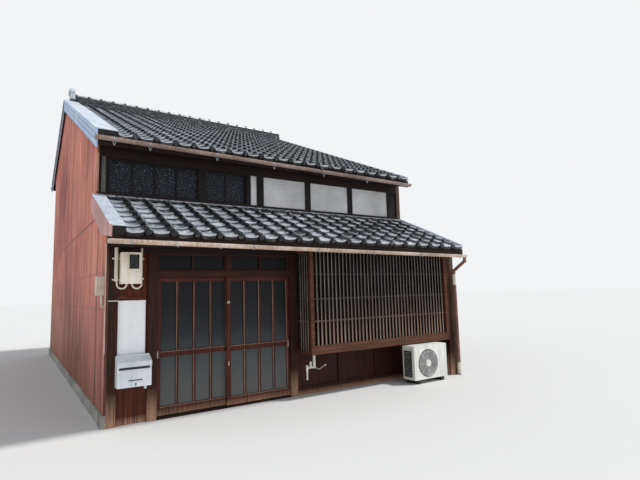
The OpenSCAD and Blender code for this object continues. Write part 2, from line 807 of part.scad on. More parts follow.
module roof_ridge() {
    half = ridge_w / 2 - 5;
    z0 = ridge_deck_z + tile_h;
    z3 = z0 + 3 * ridge_course_h - 10;
    color([0.16, 0.16, 0.18]) {
        along_x(main_flash_x - 60, house_w) union() {
            polygon([
                [-half + ridge_y, main_deck_top(ridge_y - half) + seat], [ridge_y, ridge_deck_z + seat],
                [half + ridge_y, rear_deck_top(ridge_y + half) + seat],
                [half + ridge_y, z0], [half - 15 + ridge_y, z0], [half - 15 + ridge_y, z0 + ridge_course_h],
                [half - 35 + ridge_y, z0 + ridge_course_h], [half - 35 + ridge_y, z0 + 2 * ridge_course_h],
                [half - 55 + ridge_y, z0 + 2 * ridge_course_h], [half - 55 + ridge_y, z3],
                [-half + 55 + ridge_y, z3], [-half + 55 + ridge_y, z0 + 2 * ridge_course_h],
                [-half + 35 + ridge_y, z0 + 2 * ridge_course_h], [-half + 35 + ridge_y, z0 + ridge_course_h],
                [-half + 15 + ridge_y, z0 + ridge_course_h], [-half + 15 + ridge_y, z0], [-half + ridge_y, z0]
            ]);
            translate([ridge_y, z3 - 10]) circle(r = ridge_cap_r, $fn = 48);
        }
    }
}

barge_top = tile_h + verge_up[2];
ridge_end_t = 110;

module ridge_end() {
    z0 = ridge_deck_z + barge_top + seat;
    x1 = main_flash_x - 60 - seat;
    color([0.72, 0.74, 0.76]) {
        along_x(x1 - ridge_end_t, x1) difference() {
            translate([ridge_y, z0]) union() {
                translate([-160, 0]) square([320, 130]);
                translate([0, 195]) circle(r = 135, $fn = 48);
            }
            for (s = [-1, 1]) translate([ridge_y + s * 178, z0 + 150]) circle(r = 50, $fn = 32);
        }
        along_x(x1 - ridge_end_t - 30, x1 - ridge_end_t + 1) translate([ridge_y, z0 + 190])
            circle(r = 70, $fn = 48);
    }
}

module verge_boards() {
    color([0.72, 0.76, 0.82]) for (s = [0, 1]) {
        y0 = s == 0 ? main_eave_y - verge_end : rear_eave_y + verge_end;
        z0 = s == 0 ? main_deck_top(y0) : rear_deck_top(y0);
        yr = s == 0 ? ridge_y - joint / 2 : ridge_y + joint / 2;
        along_x(-verge_out - board_t, -verge_out) polygon([
            [y0, z0 + barge_top], [yr, ridge_deck_z + barge_top],
            [yr, ridge_deck_z + barge_top - barge_h], [y0, z0 + barge_top - barge_h]
        ]);
    }
}

module verge_flashing() {
    color("whitesmoke") for (s = [0, 1]) {
        y0 = s == 0 ? main_eave_y - verge_end : rear_eave_y + verge_end;
        z0 = s == 0 ? main_deck_top(y0) : rear_deck_top(y0);
        yr = s == 0 ? ridge_y - joint / 2 : ridge_y + joint / 2;
        along_x(-verge_out, main_flash_x - 60 - joint) polygon([
            [y0, z0 + barge_top], [yr, ridge_deck_z + barge_top], [yr, ridge_deck_z + seat], [y0, z0 + seat]
        ]);
        yn = s == 0 ? ridge_y - ridge_w / 2 : ridge_y + ridge_w / 2;
        zn = s == 0 ? main_deck_top(yn) : rear_deck_top(yn);
        along_x(main_flash_x - 60, main_flash_x - seat) polygon([
            [y0, z0 + barge_top], [yn, zn + barge_top], [yn, zn + seat], [y0, z0 + seat]
        ]);
    }
}

module eave_board(y0, z) {
    span([-verge_out, y0, z - eave_board_h], [house_w, y0 + board_t, z]);
}

module eave_boards() {
    color([0.25, 0.15, 0.1]) {
        eave_board(-pent_out - board_t, pent_deck_top(-pent_out) - 15);
        eave_board(main_eave_y - board_t, main_deck_top(main_eave_y) - 15);
        eave_board(rear_eave_y, rear_deck_top(rear_eave_y) - 15);
    }
}

// A half-round gutter along X, its rim at z = 0 and its back edge at y = 0
module gutter(length) {
    translate([0, -gutter_r, 0]) {
        along_x(0, length) difference() {
            circle(r = gutter_r, $fn = 48);
            circle(r = gutter_r - gutter_t, $fn = 48);
            translate([-gutter_r - 1, 0]) square([2 * gutter_r + 2, gutter_r + 1]);
        }
        for (x = [0, length - gutter_t]) along_x(x, x + gutter_t) intersection() {
            circle(r = gutter_r - 1, $fn = 48);
            translate([-gutter_r, -gutter_r]) square([2 * gutter_r, gutter_r]);
        }
    }
}

rear_gutter_z = rear_deck_top(rear_eave_y) - 45;

module at_gutter(y, z, angle) {
    translate([-gutter_side, y, z]) rotate([0, angle, 0]) children();
}

module pent_gutter() {
    color([0.66, 0.58, 0.5])
        at_gutter(-pent_out - board_t - gutter_back, pent_gutter_z, gutter_angle) gutter(gutter_len);
}

module main_gutters() {
    color([0.35, 0.27, 0.23]) {
        at_gutter(main_eave_y - board_t - gutter_back, main_gutter_z, gutter_angle) gutter(gutter_len);
        translate([0, rear_eave_y + board_t + gutter_back + 2 * gutter_r, 0])
            at_gutter(0, rear_gutter_z, 0) gutter(gutter_len);
    }
}

// A strap round the gutter with its arm to the eave board
module bracket() {
    translate([0, -gutter_r, 0]) along_x(-9, 9) difference() {
        circle(r = gutter_r + seat + strap_t, $fn = 32);
        circle(r = gutter_r + seat, $fn = 32);
        translate([-2 * gutter_r, 0]) square([4 * gutter_r, 2 * gutter_r]);
    }
    translate([-9, seat, -6]) cube([18, gutter_back - 2 * seat, 5]);
}

module gutter_brackets() {
    n = floor((gutter_len - bracket_x - 60) / bracket_pitch);
    color("darkgray") for (x = concat([255], [for (i = [0 : n]) bracket_x + i * bracket_pitch])) {
        at_gutter(-pent_out - board_t - gutter_back, pent_gutter_z, gutter_angle)
            translate([x, 0, 0]) bracket();
        at_gutter(main_eave_y - board_t - gutter_back, main_gutter_z, gutter_angle)
            translate([x, 0, 0]) bracket();
        translate([0, rear_eave_y + board_t + gutter_back, rear_gutter_z]) mirror([0, 1, 0])
            translate([x - gutter_side, 0, 0]) bracket();
    }
}

elbow_t = 4;
pipe_x = house_w - pipe_r - elbow_t - 2;
pipe_y = -bay_out - pipe_r - 20;

// A straight length of pipe between two points
module pipe(a, b, r) {
    d = b - a;
    l = norm(d);
    translate(a) rotate([0, acos(d[2] / l), atan2(d[1], d[0])]) cylinder(r = r, h = l, $fn = 32);
}

module downpipe() {
    y0 = -pent_out - board_t - gutter_back - gutter_r;
    z0 = pent_gutter_z - (pipe_x + pipe_r + gutter_side) * tan(gutter_angle) - gutter_r / cos(gutter_angle) - seat;
    top = [pipe_x, y0, z0];
    knee = [pipe_x, y0, z0 - 60];
    turn = [pipe_x, pipe_y, z0 - 230];
    color([0.5, 0.33, 0.28]) {
        pipe(top, knee, pipe_r);
        translate(knee) sphere(r = pipe_r + elbow_t, $fn = 32);
        pipe(knee, turn, pipe_r);
        translate(turn) sphere(r = pipe_r + elbow_t, $fn = 32);
        pipe(turn, [pipe_x, pipe_y, 0], pipe_r);
    }
}

meter_back_y = 40;

module meter_box() {
    y = meter_back_y - meter[1];
    w = [meter_x + meter_window_at[0], meter_z + meter[2] - meter_window_at[1] - meter_window[1]];
    color([0.85, 0.8, 0.68]) difference() {
        span([meter_x, y, meter_z], [meter_x + meter[0], meter_back_y, meter_z + meter[2]]);
        span([w[0], y - 1, w[1]], [w[0] + meter_window[0], y + 15, w[1] + meter_window[1]]);
        span([meter_x - 1, y + 34, meter_z - 1], [meter_x + 3, y + 38, meter_z + meter[2] + 1]);
        span([meter_x + meter[0] - 3, y + 34, meter_z - 1],
             [meter_x + meter[0] + 1, y + 38, meter_z + meter[2] + 1]);
    }
}

module junction_box() {
    x0 = -seat - junction[0];
    color([0.6, 0.6, 0.56]) {
        span([x0, junction_y, junction_z], [-seat, junction_y + junction[1], junction_z + junction[2]]);
        span([x0 - 4, junction_y - 4, junction_z + 12],
             [x0 + 1, junction_y + junction[1] + 4, junction_z + junction[2] + 4]);
    }
}

mail_slope = atan((mail[2] - mail_front_h) / mail[1]);
mail_gap = 5;
hinge_r = 3;
hinge = [-16, mail[2] + mail_gap + 2];
lid_t = 4;

// Height of the letter box's rim line at y, lifted by up, measured across the slope
function rim(y, up) = mail[2] + y * tan(mail_slope) + up / cos(mail_slope);

module letter_box() {
    color([0.85, 0.86, 0.87]) translate([0, 0, mail_z]) {
        difference() {
            union() {
                along_x(mail_x, mail_x + mail[0])
                    polygon([[-mail[1], 0], [0, 0], [0, mail[2]], [-mail[1], mail_front_h]]);
                for (x = [mail_x, mail_x + mail[0] - mail_t]) along_x(x, x + mail_t)
                    polygon([[-22, 340], [-10, 340], [-10, hinge[1] + 5], [-22, hinge[1] + 5]]);
            }
            span([mail_x + mail_t, -mail[1] + mail_t, mail_t],
                 [mail_x + mail[0] - mail_t, -mail_t, mail[2] + 50]);
        }
        along_x(mail_x + mail_t - 1, mail_x + mail[0] - mail_t + 1) translate(hinge)
            circle(r = hinge_r, $fn = 24);
    }
}

module letter_box_lid() {
    front = -mail[1] - mail_gap - lid_t;
    x0 = mail_x + mail_t + mail_gap;
    x1 = mail_x + mail[0] - mail_t - mail_gap;
    color([0.88, 0.89, 0.9]) translate([0, 0, mail_z]) difference() {
        union() {
            along_x(mail_x - 2, mail_x + mail[0] + 2) polygon([
                [-30, rim(-30, mail_gap)], [-30, rim(-30, mail_gap + lid_t)],
                [front, rim(front, mail_gap + lid_t)], [front, rim(front, mail_gap) - 50],
                [front + lid_t, rim(front, mail_gap) - 50], [front + lid_t, rim(front + lid_t, mail_gap)]
            ]);
            along_x(x0, x1) polygon([
                [-31, rim(-31, mail_gap)], [-31, rim(-31, mail_gap + lid_t)],
                [hinge[0], rim(hinge[0], mail_gap + lid_t) + 3], [hinge[0], rim(hinge[0], mail_gap)]
            ]);
            along_x(x0, x1) translate(hinge) circle(r = hinge_r + 4, $fn = 32);
        }
        along_x(x0 - 1, x1 + 1) translate(hinge) circle(r = hinge_r + seat, $fn = 24);
    }
}

cooler_y = -cooler_back - cooler[1];
grille_x = cooler_x + 330;
grille_z = cooler_foot + 262;

vent_pitch = 34;
vent_h = 24;
vent_count = floor((cooler[2] - 90) / vent_pitch);

module cooling_unit() {
    color("gainsboro") difference() {
        union() {
            span([cooler_x, cooler_y, cooler_foot], [cooler_x + cooler[0], cooler_y + cooler[1], cooler_foot + cooler[2]]);
            for (x = [cooler_x + 80, cooler_x + cooler[0] - 140])
                span([x, cooler_y + 10, 0], [x + 60, cooler_y + cooler[1] - 10, cooler_foot + 1]);
        }
        translate([grille_x, cooler_y - 1, grille_z]) rotate([-90, 0, 0]) cylinder(r = grille_r, h = 61, $fn = 64);
        for (i = [0 : vent_count - 1])
            span([cooler_x - 1, cooler_y + 60, cooler_foot + 45 + i * vent_pitch],
                 [cooler_x + 20, cooler_y + cooler[1] - 25, cooler_foot + 45 + i * vent_pitch + vent_h]);
    }
}

module cooling_grille() {
    color("whitesmoke") translate([grille_x, cooler_y - 6, grille_z]) rotate([-90, 0, 0]) {
        cylinder(r = 50, h = 6, $fn = 48);
        for (r = [70 : 24 : grille_r])
            difference() {
                cylinder(r = r + 3, h = 5, $fn = 64);
                translate([0, 0, -1]) cylinder(r = r, h = 7, $fn = 64);
            }
        for (a = [0 : 45 : 315])
            rotate([0, 0, a]) translate([45, -2, 0]) cube([grille_r - 45 + 8, 4, 5.8]);
    }
}

conduit_r = 11;
bend_r = 60;
conduit_gap = 20;
conduit_up = 60;
conduit_x = meter_x - conduit_gap - conduit_r;
conduit_x2 = meter_x + meter[0] + conduit_gap + conduit_r;

module pipework() {
    y = -conduit_r - seat;
    tap = [bay_x + 160, -200, bay_z - seat];
    color("lightgray") {
        translate([conduit_x, y, meter_z - seat])
            cylinder(r = conduit_r, h = front_beam_z + conduit_up - meter_z, $fn = 24);
        translate([conduit_x + bend_r, y, meter_z - seat]) rotate([90, 0, 0]) rotate([0, 0, 180])
            rotate_extrude(angle = 180, $fn = 48) translate([bend_r, 0]) circle(r = conduit_r, $fn = 24);
        translate([conduit_x2, y, meter_z - seat])
            cylinder(r = conduit_r, h = front_beam_z + conduit_up - meter_z, $fn = 24);
        translate([conduit_x2 - bend_r, y, meter_z - seat]) rotate([90, 0, 0]) rotate([0, 0, 180])
            rotate_extrude(angle = 180, $fn = 48) translate([bend_r, 0]) circle(r = conduit_r, $fn = 24);
        pipe(tap, tap - [0, 0, 210], 14);
        translate(tap - [0, 0, 210]) sphere(r = 17, $fn = 24);
        pipe(tap - [0, 0, 210], tap - [130, 0, 210], 14);
        translate(tap - [130, 0, 210]) sphere(r = 17, $fn = 24);
        pipe(tap - [130, 0, 210], tap - [130, 0, 390], 14);
        pipe([cooler_x + 700, 22 - seat, 210], [cooler_x + 700, cooler_y + cooler[1] + seat, 210], 20);
    }
}

place() footings();
place() ground_floor();
place() gable_wall();
place() gable_cladding();
place() party_wall();
place() rear_wall();
place() rear_cladding();
place() rear_windows();
place() rear_glass();
place() upper_floor();
place() front_posts();
place() front_beam();
place() left_panel();
place() notice_sheet();
place() door_track();
place() door_head();
place() transom_glass();
place() left_door();
place() left_door_glass();
place() right_door();
place() right_door_glass();
place() wainscot();
place() bay_sashes();
place() bay_glass();
place() bay_frame();
place() bay_lattice();
place() roof_rafters();
place() roof_boards();
place() pent_tiles();
place() pent_verge_board();
place() pent_verge_flashing();
place() upper_beams();
place() upper_posts();
place() upper_panels();
place() upper_sashes();
place() upper_glass();
place() main_tiles();
place() roof_ridge();
place() ridge_end();
place() verge_boards();
place() verge_flashing();
place() side_flashing();
place() eave_boards();
place() pent_gutter();
place() main_gutters();
place() gutter_brackets();
place() downpipe();
place() meter_box();
place() junction_box();
place() letter_box();
place() letter_box_lid();
place() cooling_unit();
place() cooling_grille();
place() pipework();
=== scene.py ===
# %% [markdown]
# A timber townhouse
#
# The house has two storeys: a pent roof over the entrance, a lattice bay, and a low upper storey set
# back under the main roof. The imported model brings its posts, walls, doors and gutters at their real
# size. This script gives each of them its finish and makes what is too fine for construction: the
# tiles in their courses, pulls, clamps, fins and the like.

# %% Load the model
import math
import random

import bmesh
import bpy
from mathutils import Matrix, Vector


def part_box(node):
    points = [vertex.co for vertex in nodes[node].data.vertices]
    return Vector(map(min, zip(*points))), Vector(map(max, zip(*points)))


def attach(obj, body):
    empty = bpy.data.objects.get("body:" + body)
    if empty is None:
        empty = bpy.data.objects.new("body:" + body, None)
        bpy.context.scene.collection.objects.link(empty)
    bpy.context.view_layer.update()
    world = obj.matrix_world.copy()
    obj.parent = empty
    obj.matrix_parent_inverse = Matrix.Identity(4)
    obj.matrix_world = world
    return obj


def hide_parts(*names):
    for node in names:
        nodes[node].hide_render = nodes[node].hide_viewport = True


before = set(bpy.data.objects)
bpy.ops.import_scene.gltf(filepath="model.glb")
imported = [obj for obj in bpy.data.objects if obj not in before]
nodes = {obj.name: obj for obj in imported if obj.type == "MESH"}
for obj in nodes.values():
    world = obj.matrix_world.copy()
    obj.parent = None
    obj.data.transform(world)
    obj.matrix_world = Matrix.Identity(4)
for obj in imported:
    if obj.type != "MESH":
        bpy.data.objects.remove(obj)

scene = bpy.context.scene
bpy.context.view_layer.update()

# %% [markdown]
# Places on the house are read from two lines on the building itself: the outer face of the gable's
# cladding, and the entrance line, where the front posts stand. One function turns such a place into
# the model's frame, so a number here can be checked with a tape measure.

# %% Places on the house
CORNER = Vector((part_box("gable_cladding")[0].x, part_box("front_beam")[0].y, 0.0))


def at(x, y, z):
    """A place in metres from the gable's face, from the entrance line, and above the ground."""
    return CORNER + Vector((x, y, z))


# %% [markdown]
# The camera stands in front of the house and to its left, at eye height. Its place, turn and lens
# follow from the way the posts, eaves and sills run together in the photograph, which was taken a
# little off level, so the camera rolls by a degree and a half.

# %% Camera
FRAME_WIDTH_PX = 640
FOCAL_PX = 461.239
SENSOR_MM = 36.0
EYE = (-0.985, -6.376, 1.608)
YAW, PITCH, ROLL = (math.radians(v) for v in (33.756, 6.338, -1.574))

ahead = Vector((math.sin(YAW) * math.cos(PITCH), math.cos(YAW) * math.cos(PITCH), math.sin(PITCH)))
level = Vector((math.cos(YAW), -math.sin(YAW), 0.0))
above = level.cross(ahead)
right = level * math.cos(ROLL) + above * math.sin(ROLL)
up = above * math.cos(ROLL) - level * math.sin(ROLL)

camera_data = bpy.data.cameras.new("street_camera")
camera_data.sensor_width = SENSOR_MM
camera_data.lens = FOCAL_PX / FRAME_WIDTH_PX * SENSOR_MM
camera = bpy.data.objects.new("street_camera", camera_data)
camera.matrix_world = Matrix.Translation(at(*EYE)) @ Matrix((right, up, -ahead)).transposed().to_4x4()
scene.collection.objects.link(camera)
scene.camera = camera

# %% [markdown]
# A high sun through thin haze stands on the right, so the rolls of the tiles are dark on their left and
# the eaves' shadows reach the foot of the front. A large lamp angle softens their edges, the world's
# light fills them, and a surface renders about as light as its colour is written.

# %% Light, colours and sky
scene.view_settings.view_transform = "Standard"

sun_data = bpy.data.lights.new("sun", "SUN")
sun_data.energy = 3.0
sun_data.angle = math.radians(7)
sun = bpy.data.objects.new("sun", sun_data)
sun.rotation_euler = Vector((0.5, -0.33, 1.0)).to_track_quat("Z", "Y").to_euler()
scene.collection.objects.link(sun)


def paint(code):
    """A colour written as sRGB hex, turned to the linear values that shaders use."""
    levels = [int(code[i:i + 2], 16) / 255 for i in (0, 2, 4)]
    return [v / 12.92 if v <= 0.04045 else ((v + 0.055) / 1.055) ** 2.4 for v in levels] + [1.0]


def add(tree, kind, values=None, links=None, stops=None, **settings):
    """Add a node, give it its settings, socket values and colour stops, and link what feeds it."""
    made = tree.nodes.new(kind)
    for key, value in settings.items():
        setattr(made, key, value)
    for key, value in (values or {}).items():
        made.inputs[key].default_value = value
    for key, socket in (links or {}).items():
        tree.links.new(socket, made.inputs[key])
    if stops:
        elements = made.color_ramp.elements
        while len(elements) < len(stops):
            elements.new(0.5)
        for element, (place, colour) in zip(elements, stops):
            element.position = place
            element.color = paint(colour) if isinstance(colour, str) else (colour,) * 3 + (1.0,)
    return made


world = bpy.data.worlds.new("open_sky")
scene.world = world
world.use_nodes = True
sky = world.node_tree
sky.nodes.clear()
rays = add(sky, "ShaderNodeLightPath")
seen = add(sky, "ShaderNodeMath", {}, {0: rays.outputs["Is Camera Ray"]}, operation="ADD")
sky.links.new(rays.outputs["Is Transmission Ray"], seen.inputs[1])
fill = add(sky, "ShaderNodeBackground", {"Color": paint("dfe6ee"), "Strength": 0.9})
backdrop = add(sky, "ShaderNodeBackground", {"Color": paint("f2f4f6"), "Strength": 1.0})
either = add(sky, "ShaderNodeMixShader", {}, {0: seen.outputs[0], 1: fill.outputs[0], 2: backdrop.outputs[0]})
add(sky, "ShaderNodeOutputWorld", {}, {"Surface": either.outputs[0]})

# %% [markdown]
# Every finish starts the same way: a Principled shader with the plain values of its material, and
# Object coordinates, which lie in metres on this model, because each piece's object sits at the origin.
# So a grain 6 mm wide is written as a scale of 1 / 0.006, wherever the piece is.

# %% A helper that starts a finish
def finish(name, roughness, base="808080", **sockets):
    """Start a material: its tree, its shader and its coordinates in metres."""
    material = bpy.data.materials.new(name)
    material.use_nodes = True
    tree = material.node_tree
    shader = tree.nodes["Principled BSDF"]
    shader.inputs["Roughness"].default_value = roughness
    shader.inputs["Base Color"].default_value = paint(base)
    for key, value in sockets.items():
        shader.inputs[key.replace("_", " ")].default_value = value
    return material, tree, shader, add(tree, "ShaderNodeTexCoord").outputs["Object"]


# %% [markdown]
# Cedar, oiled once and left to the weather. The grain runs along the piece: lines a few millimetres wide and
# half a metre long, so the pattern is squeezed hard across the grain and hardly at all along it. Towards its
# foot the wood turns pale. Part of that is rain leaching the oil out, and part is painted sunlight where the
# sun reaches under the eaves.

# %% Timber
GRAIN_MM = 9.0
ALONG_GRAIN, BLOTCHES = 1.6, 2.3  # turns per metre
LEACHED_AND_SUNLIT = "b2886f"


def timber(name, colours, along, foot=0.0, roughness=0.62):
    """Wood with its grain along one axis, and a pale foot up to the given height, leached by rain and with
    painted sunlight.
    """
    material, tree, shader, place = finish(name, roughness, Specular_IOR_Level=0.25)
    scale = [1000 / GRAIN_MM] * 3
    scale["xyz".index(along)] = ALONG_GRAIN
    drawn = add(tree, "ShaderNodeMapping", {"Scale": scale}, {"Vector": place})
    grain = add(tree, "ShaderNodeTexNoise",
                {"Scale": 1.0, "Detail": 5.0, "Roughness": 0.62, "Distortion": 0.7},
                {"Vector": drawn.outputs[0]})
    wood = add(tree, "ShaderNodeValToRGB", {}, {"Fac": grain.outputs[0]},
               stops=[(0.3, colours[0]), (0.5, colours[1]), (0.72, colours[2])])
    blotch = add(tree, "ShaderNodeTexNoise", {"Scale": BLOTCHES, "Detail": 4.0, "Roughness": 0.6},
                 {"Vector": place})
    shade = add(tree, "ShaderNodeValToRGB", {}, {"Fac": blotch.outputs[0]}, stops=[(0.32, 0.6), (0.68, 1.0)])
    toned = add(tree, "ShaderNodeMix", {0: 1.0}, {6: wood.outputs[0], 7: shade.outputs[0]},
                data_type="RGBA", blend_type="MULTIPLY")
    colour = toned.outputs[2]
    if foot:
        height = add(tree, "ShaderNodeSeparateXYZ", {}, {0: place})
        near = add(tree, "ShaderNodeMapRange", {"From Min": foot, "From Max": 0.0, "To Max": 1.3},
                   {"Value": height.outputs["Z"]})
        fibres = add(tree, "ShaderNodeValToRGB", {}, {"Fac": grain.outputs[0]},
                     stops=[(0.34, 0.1), (0.6, 1.0)])
        ragged = add(tree, "ShaderNodeMath", {}, {0: near.outputs[0], 1: fibres.outputs[0]},
                     operation="MULTIPLY", use_clamp=True)
        sunlit_and_leached = add(tree, "ShaderNodeMix", {7: paint(LEACHED_AND_SUNLIT)}, {0: ragged.outputs[0], 6: colour},
                    data_type="RGBA")
        colour = sunlit_and_leached.outputs[2]
    tree.links.new(colour, shader.inputs["Base Color"])
    relief = add(tree, "ShaderNodeBump", {"Strength": 0.35, "Distance": 0.002}, {"Height": grain.outputs[0]})
    tree.links.new(relief.outputs[0], shader.inputs["Normal"])
    return material


# Each foot below is paled partly by rain and partly with painted sunlight.
dark_upright = timber("oiled cedar, upright", ("140904", "351a0e", "5b321e"), "z", foot=0.42)
# A copy of the cedar darkened with painted shade, for parts that stand in shade.
shaded_upright = timber("cedar with painted shade under the eaves", ("0b0807", "17110e", "2b211b"), "z")
dark_level = timber("oiled cedar, level", ("110a07", "25150f", "3d271c"), "x")
dark_rafter = timber("smoked cedar rafters", ("0e0907", "1d130e", "31211a"), "y")
door_wood = timber("red-brown lacquered cedar, upright", ("200b05", "4f1e10", "7c3a28"), "z", foot=0.12,
                   roughness=0.45)
panel_wood = timber("red-brown cedar boards", ("240c05", "5a2310", "844028"), "z", foot=0.10)
low_boards = timber("dark red-brown boards", ("130603", "341409", "55291a"), "z", foot=0.08)
bay_wood = timber("grey-brown cedar rails", ("311a12", "5b3626", "885b45"), "x", roughness=0.55)
# The lattice pales up to 1.6 m: wood bleached by rain, and painted sunlight on the bay's lower part.
lattice_wood = timber("weathered cedar bars", ("0f0b0a", "2c2320", "5d4f49"), "z", foot=1.6)
# Pale cedar for the painted highlights on the lattice bars' edges.
lit_bar_cedar = timber("cedar bar edges with painted highlight", ("6b625b", "938980", "b5aba2"), "z")
# Pale wood for the painted highlights on the door bars' edges.
lit_edge_wood = timber("door bar edges with painted highlight", ("715c4b", "917a67", "b09b87"), "z")
head_wood = timber("red-brown cedar head", ("1c0c07", "402014", "5f3322"), "x")
grey_board = timber("weathered grey board", ("47433c", "67625a", "88827a"), "z")
board_wood = timber("bare cedar boards", ("3c2c21", "574233", "75604d"), "x")

# %% [markdown]
# Sheet steel that was painted at the works, and plastic that was coloured in the mould, age alike:
# the colour is even, then rain draws pale and dark streaks straight down it, and dust settles in
# broad clouds. The streaks are centimetres wide and a metre long; the clouds are half a metre across.

# %% Painted and moulded surfaces
STREAK_LENGTH = 16  # in widths of the streak


def coated(name, colours, roughness, streak_mm=60, cloud_m=0.5, depth=0.0006, metallic=0.0):
    """An even coat with run-off streaks down it and clouds of dust over it."""
    material, tree, shader, place = finish(name, roughness, Metallic=metallic)
    across = 1000 / streak_mm
    drawn = add(tree, "ShaderNodeMapping", {"Scale": (across, across, across / STREAK_LENGTH)},
                {"Vector": place})
    streak = add(tree, "ShaderNodeTexNoise", {"Scale": 1.0, "Detail": 4.0, "Roughness": 0.65},
                 {"Vector": drawn.outputs[0]})
    cloud = add(tree, "ShaderNodeTexNoise", {"Scale": 1 / cloud_m, "Detail": 5.0, "Roughness": 0.6},
                {"Vector": place})
    both = add(tree, "ShaderNodeMath", {}, {0: streak.outputs[0], 1: cloud.outputs[0]}, operation="ADD")
    half = add(tree, "ShaderNodeMath", {1: 0.5}, {0: both.outputs[0]}, operation="MULTIPLY")
    colour = add(tree, "ShaderNodeValToRGB", {}, {"Fac": half.outputs[0]},
                 stops=[(0.36, colours[0]), (0.5, colours[1]), (0.64, colours[2])])
    tree.links.new(colour.outputs[0], shader.inputs["Base Color"])
    relief = add(tree, "ShaderNodeBump", {"Strength": 0.3, "Distance": depth}, {"Height": streak.outputs[0]})
    tree.links.new(relief.outputs[0], shader.inputs["Normal"])
    return material


CLADDING = ("7d3222", "cb795f", "f2a288")
corner_red = coated("red-brown steel corner", ("96574b", "b87566", "cf9587"), 0.45, streak_mm=30)
# Dark red for the painted shadow along the laps.
lap_shadow_red = coated("red steel with painted lap shadow", ("3a1913", "57281e", "74392c"), 0.45, streak_mm=30)
# A pale steel finish for the painted highlight on the corner's fold.
fold_highlight = coated("steel fold with painted highlight", ("c4a097", "dcc0b8", "efdcd6"), 0.45, streak_mm=12, cloud_m=0.2)
verge_dark = coated("black-brown steel verge", ("16181b", "24272b", "3a3e43"), 0.45)
verge_pink = coated("faded red steel fascia", ("9c665e", "bd857c", "d6a89f"), 0.5)
verge_blue = coated("pale blue-grey steel fascia", ("8ea5c6", "aec2e0", "c8d7ec"), 0.42)
verge_line = coated("blue-grey seam", ("57657a", "6d7b8f", "8794a6"), 0.45)
flashing_steel = coated("zinc-grey flashing", ("9aa1a9", "b8bec6", "d0d5db"), 0.38)
gutter_beige = coated("beige gutter vinyl", ("9c8575", "cbb2a0", "eeddd0"), 0.4, streak_mm=25)
gutter_brown = coated("brown gutter vinyl", ("6b5850", "977f74", "bba69b"), 0.4, streak_mm=25)
pipe_red = coated("red-brown pipe vinyl", ("5a3a30", "754f43", "8e6a5c"), 0.42, streak_mm=25)
zinc = coated("dull zinc strap", ("8d8d8c", "a9aaaa", "c6c7c7"), 0.45, streak_mm=8, metallic=0.6)
box_enamel = coated("pale grey enamel", ("c9ced3", "dde1e4", "eceef0"), 0.35, streak_mm=90, cloud_m=0.3)
sheet_white = coated("white painted sheet", ("f2f0f3", "fbfafb", "ffffff"), 0.5, streak_mm=120)
meter_cream = coated("cream moulded plastic", ("f3e4cd", "fdf1df", "fffaf2"), 0.42, cloud_m=0.2)
conduit_cream = coated("cream vinyl conduit", ("bfb7a2", "d9d2c0", "ece8dc"), 0.45, streak_mm=15,
                       cloud_m=0.2)
cooler_white = coated("ivory enamelled steel", ("c4c2b8", "dedcd4", "edece7"), 0.4, streak_mm=50, cloud_m=0.3)
grey_box = coated("grey moulded plastic", ("9c8b79", "c3b29f", "dacdbc"), 0.5, streak_mm=20, cloud_m=0.2)
black_plastic = coated("black moulded plastic", ("121212", "1e1e1e", "2c2c2c"), 0.4, streak_mm=15,
                       cloud_m=0.2)
guard_grey = coated("pale grey guard wire", ("a9a9a6", "cacac7", "dededb"), 0.45, streak_mm=15, cloud_m=0.2)
silver = coated("anodised aluminium", ("8f9194", "a9abae", "c0c2c4"), 0.35, streak_mm=8, metallic=0.9)
brass = coated("worn nickel-plated brass", ("7f7a70", "a7a297", "c9c5bb"), 0.32, streak_mm=6, metallic=0.85)

# %% [markdown]
# The ribbed sheet shows a dark line of painted shade in each valley, every 90 mm, and a broader line of
# painted shadow and dirt at each side lap, 735 mm apart. The shader finds its valley from the distance along
# the sheet, folded back and forth over one rib, and each side lap in the same way. The sheet is darker
# towards the ground.

# %% Ribbed cladding
RIB_PITCH = 0.09
SHEET_W = 0.735
VALLEY, LAP = 0.082, 0.745
CLAD_RIGHT = 5.969
DARKEST_UP_TO, EVEN_FROM, LOWEST_SHARE = 0.2, 2.1, 0.52


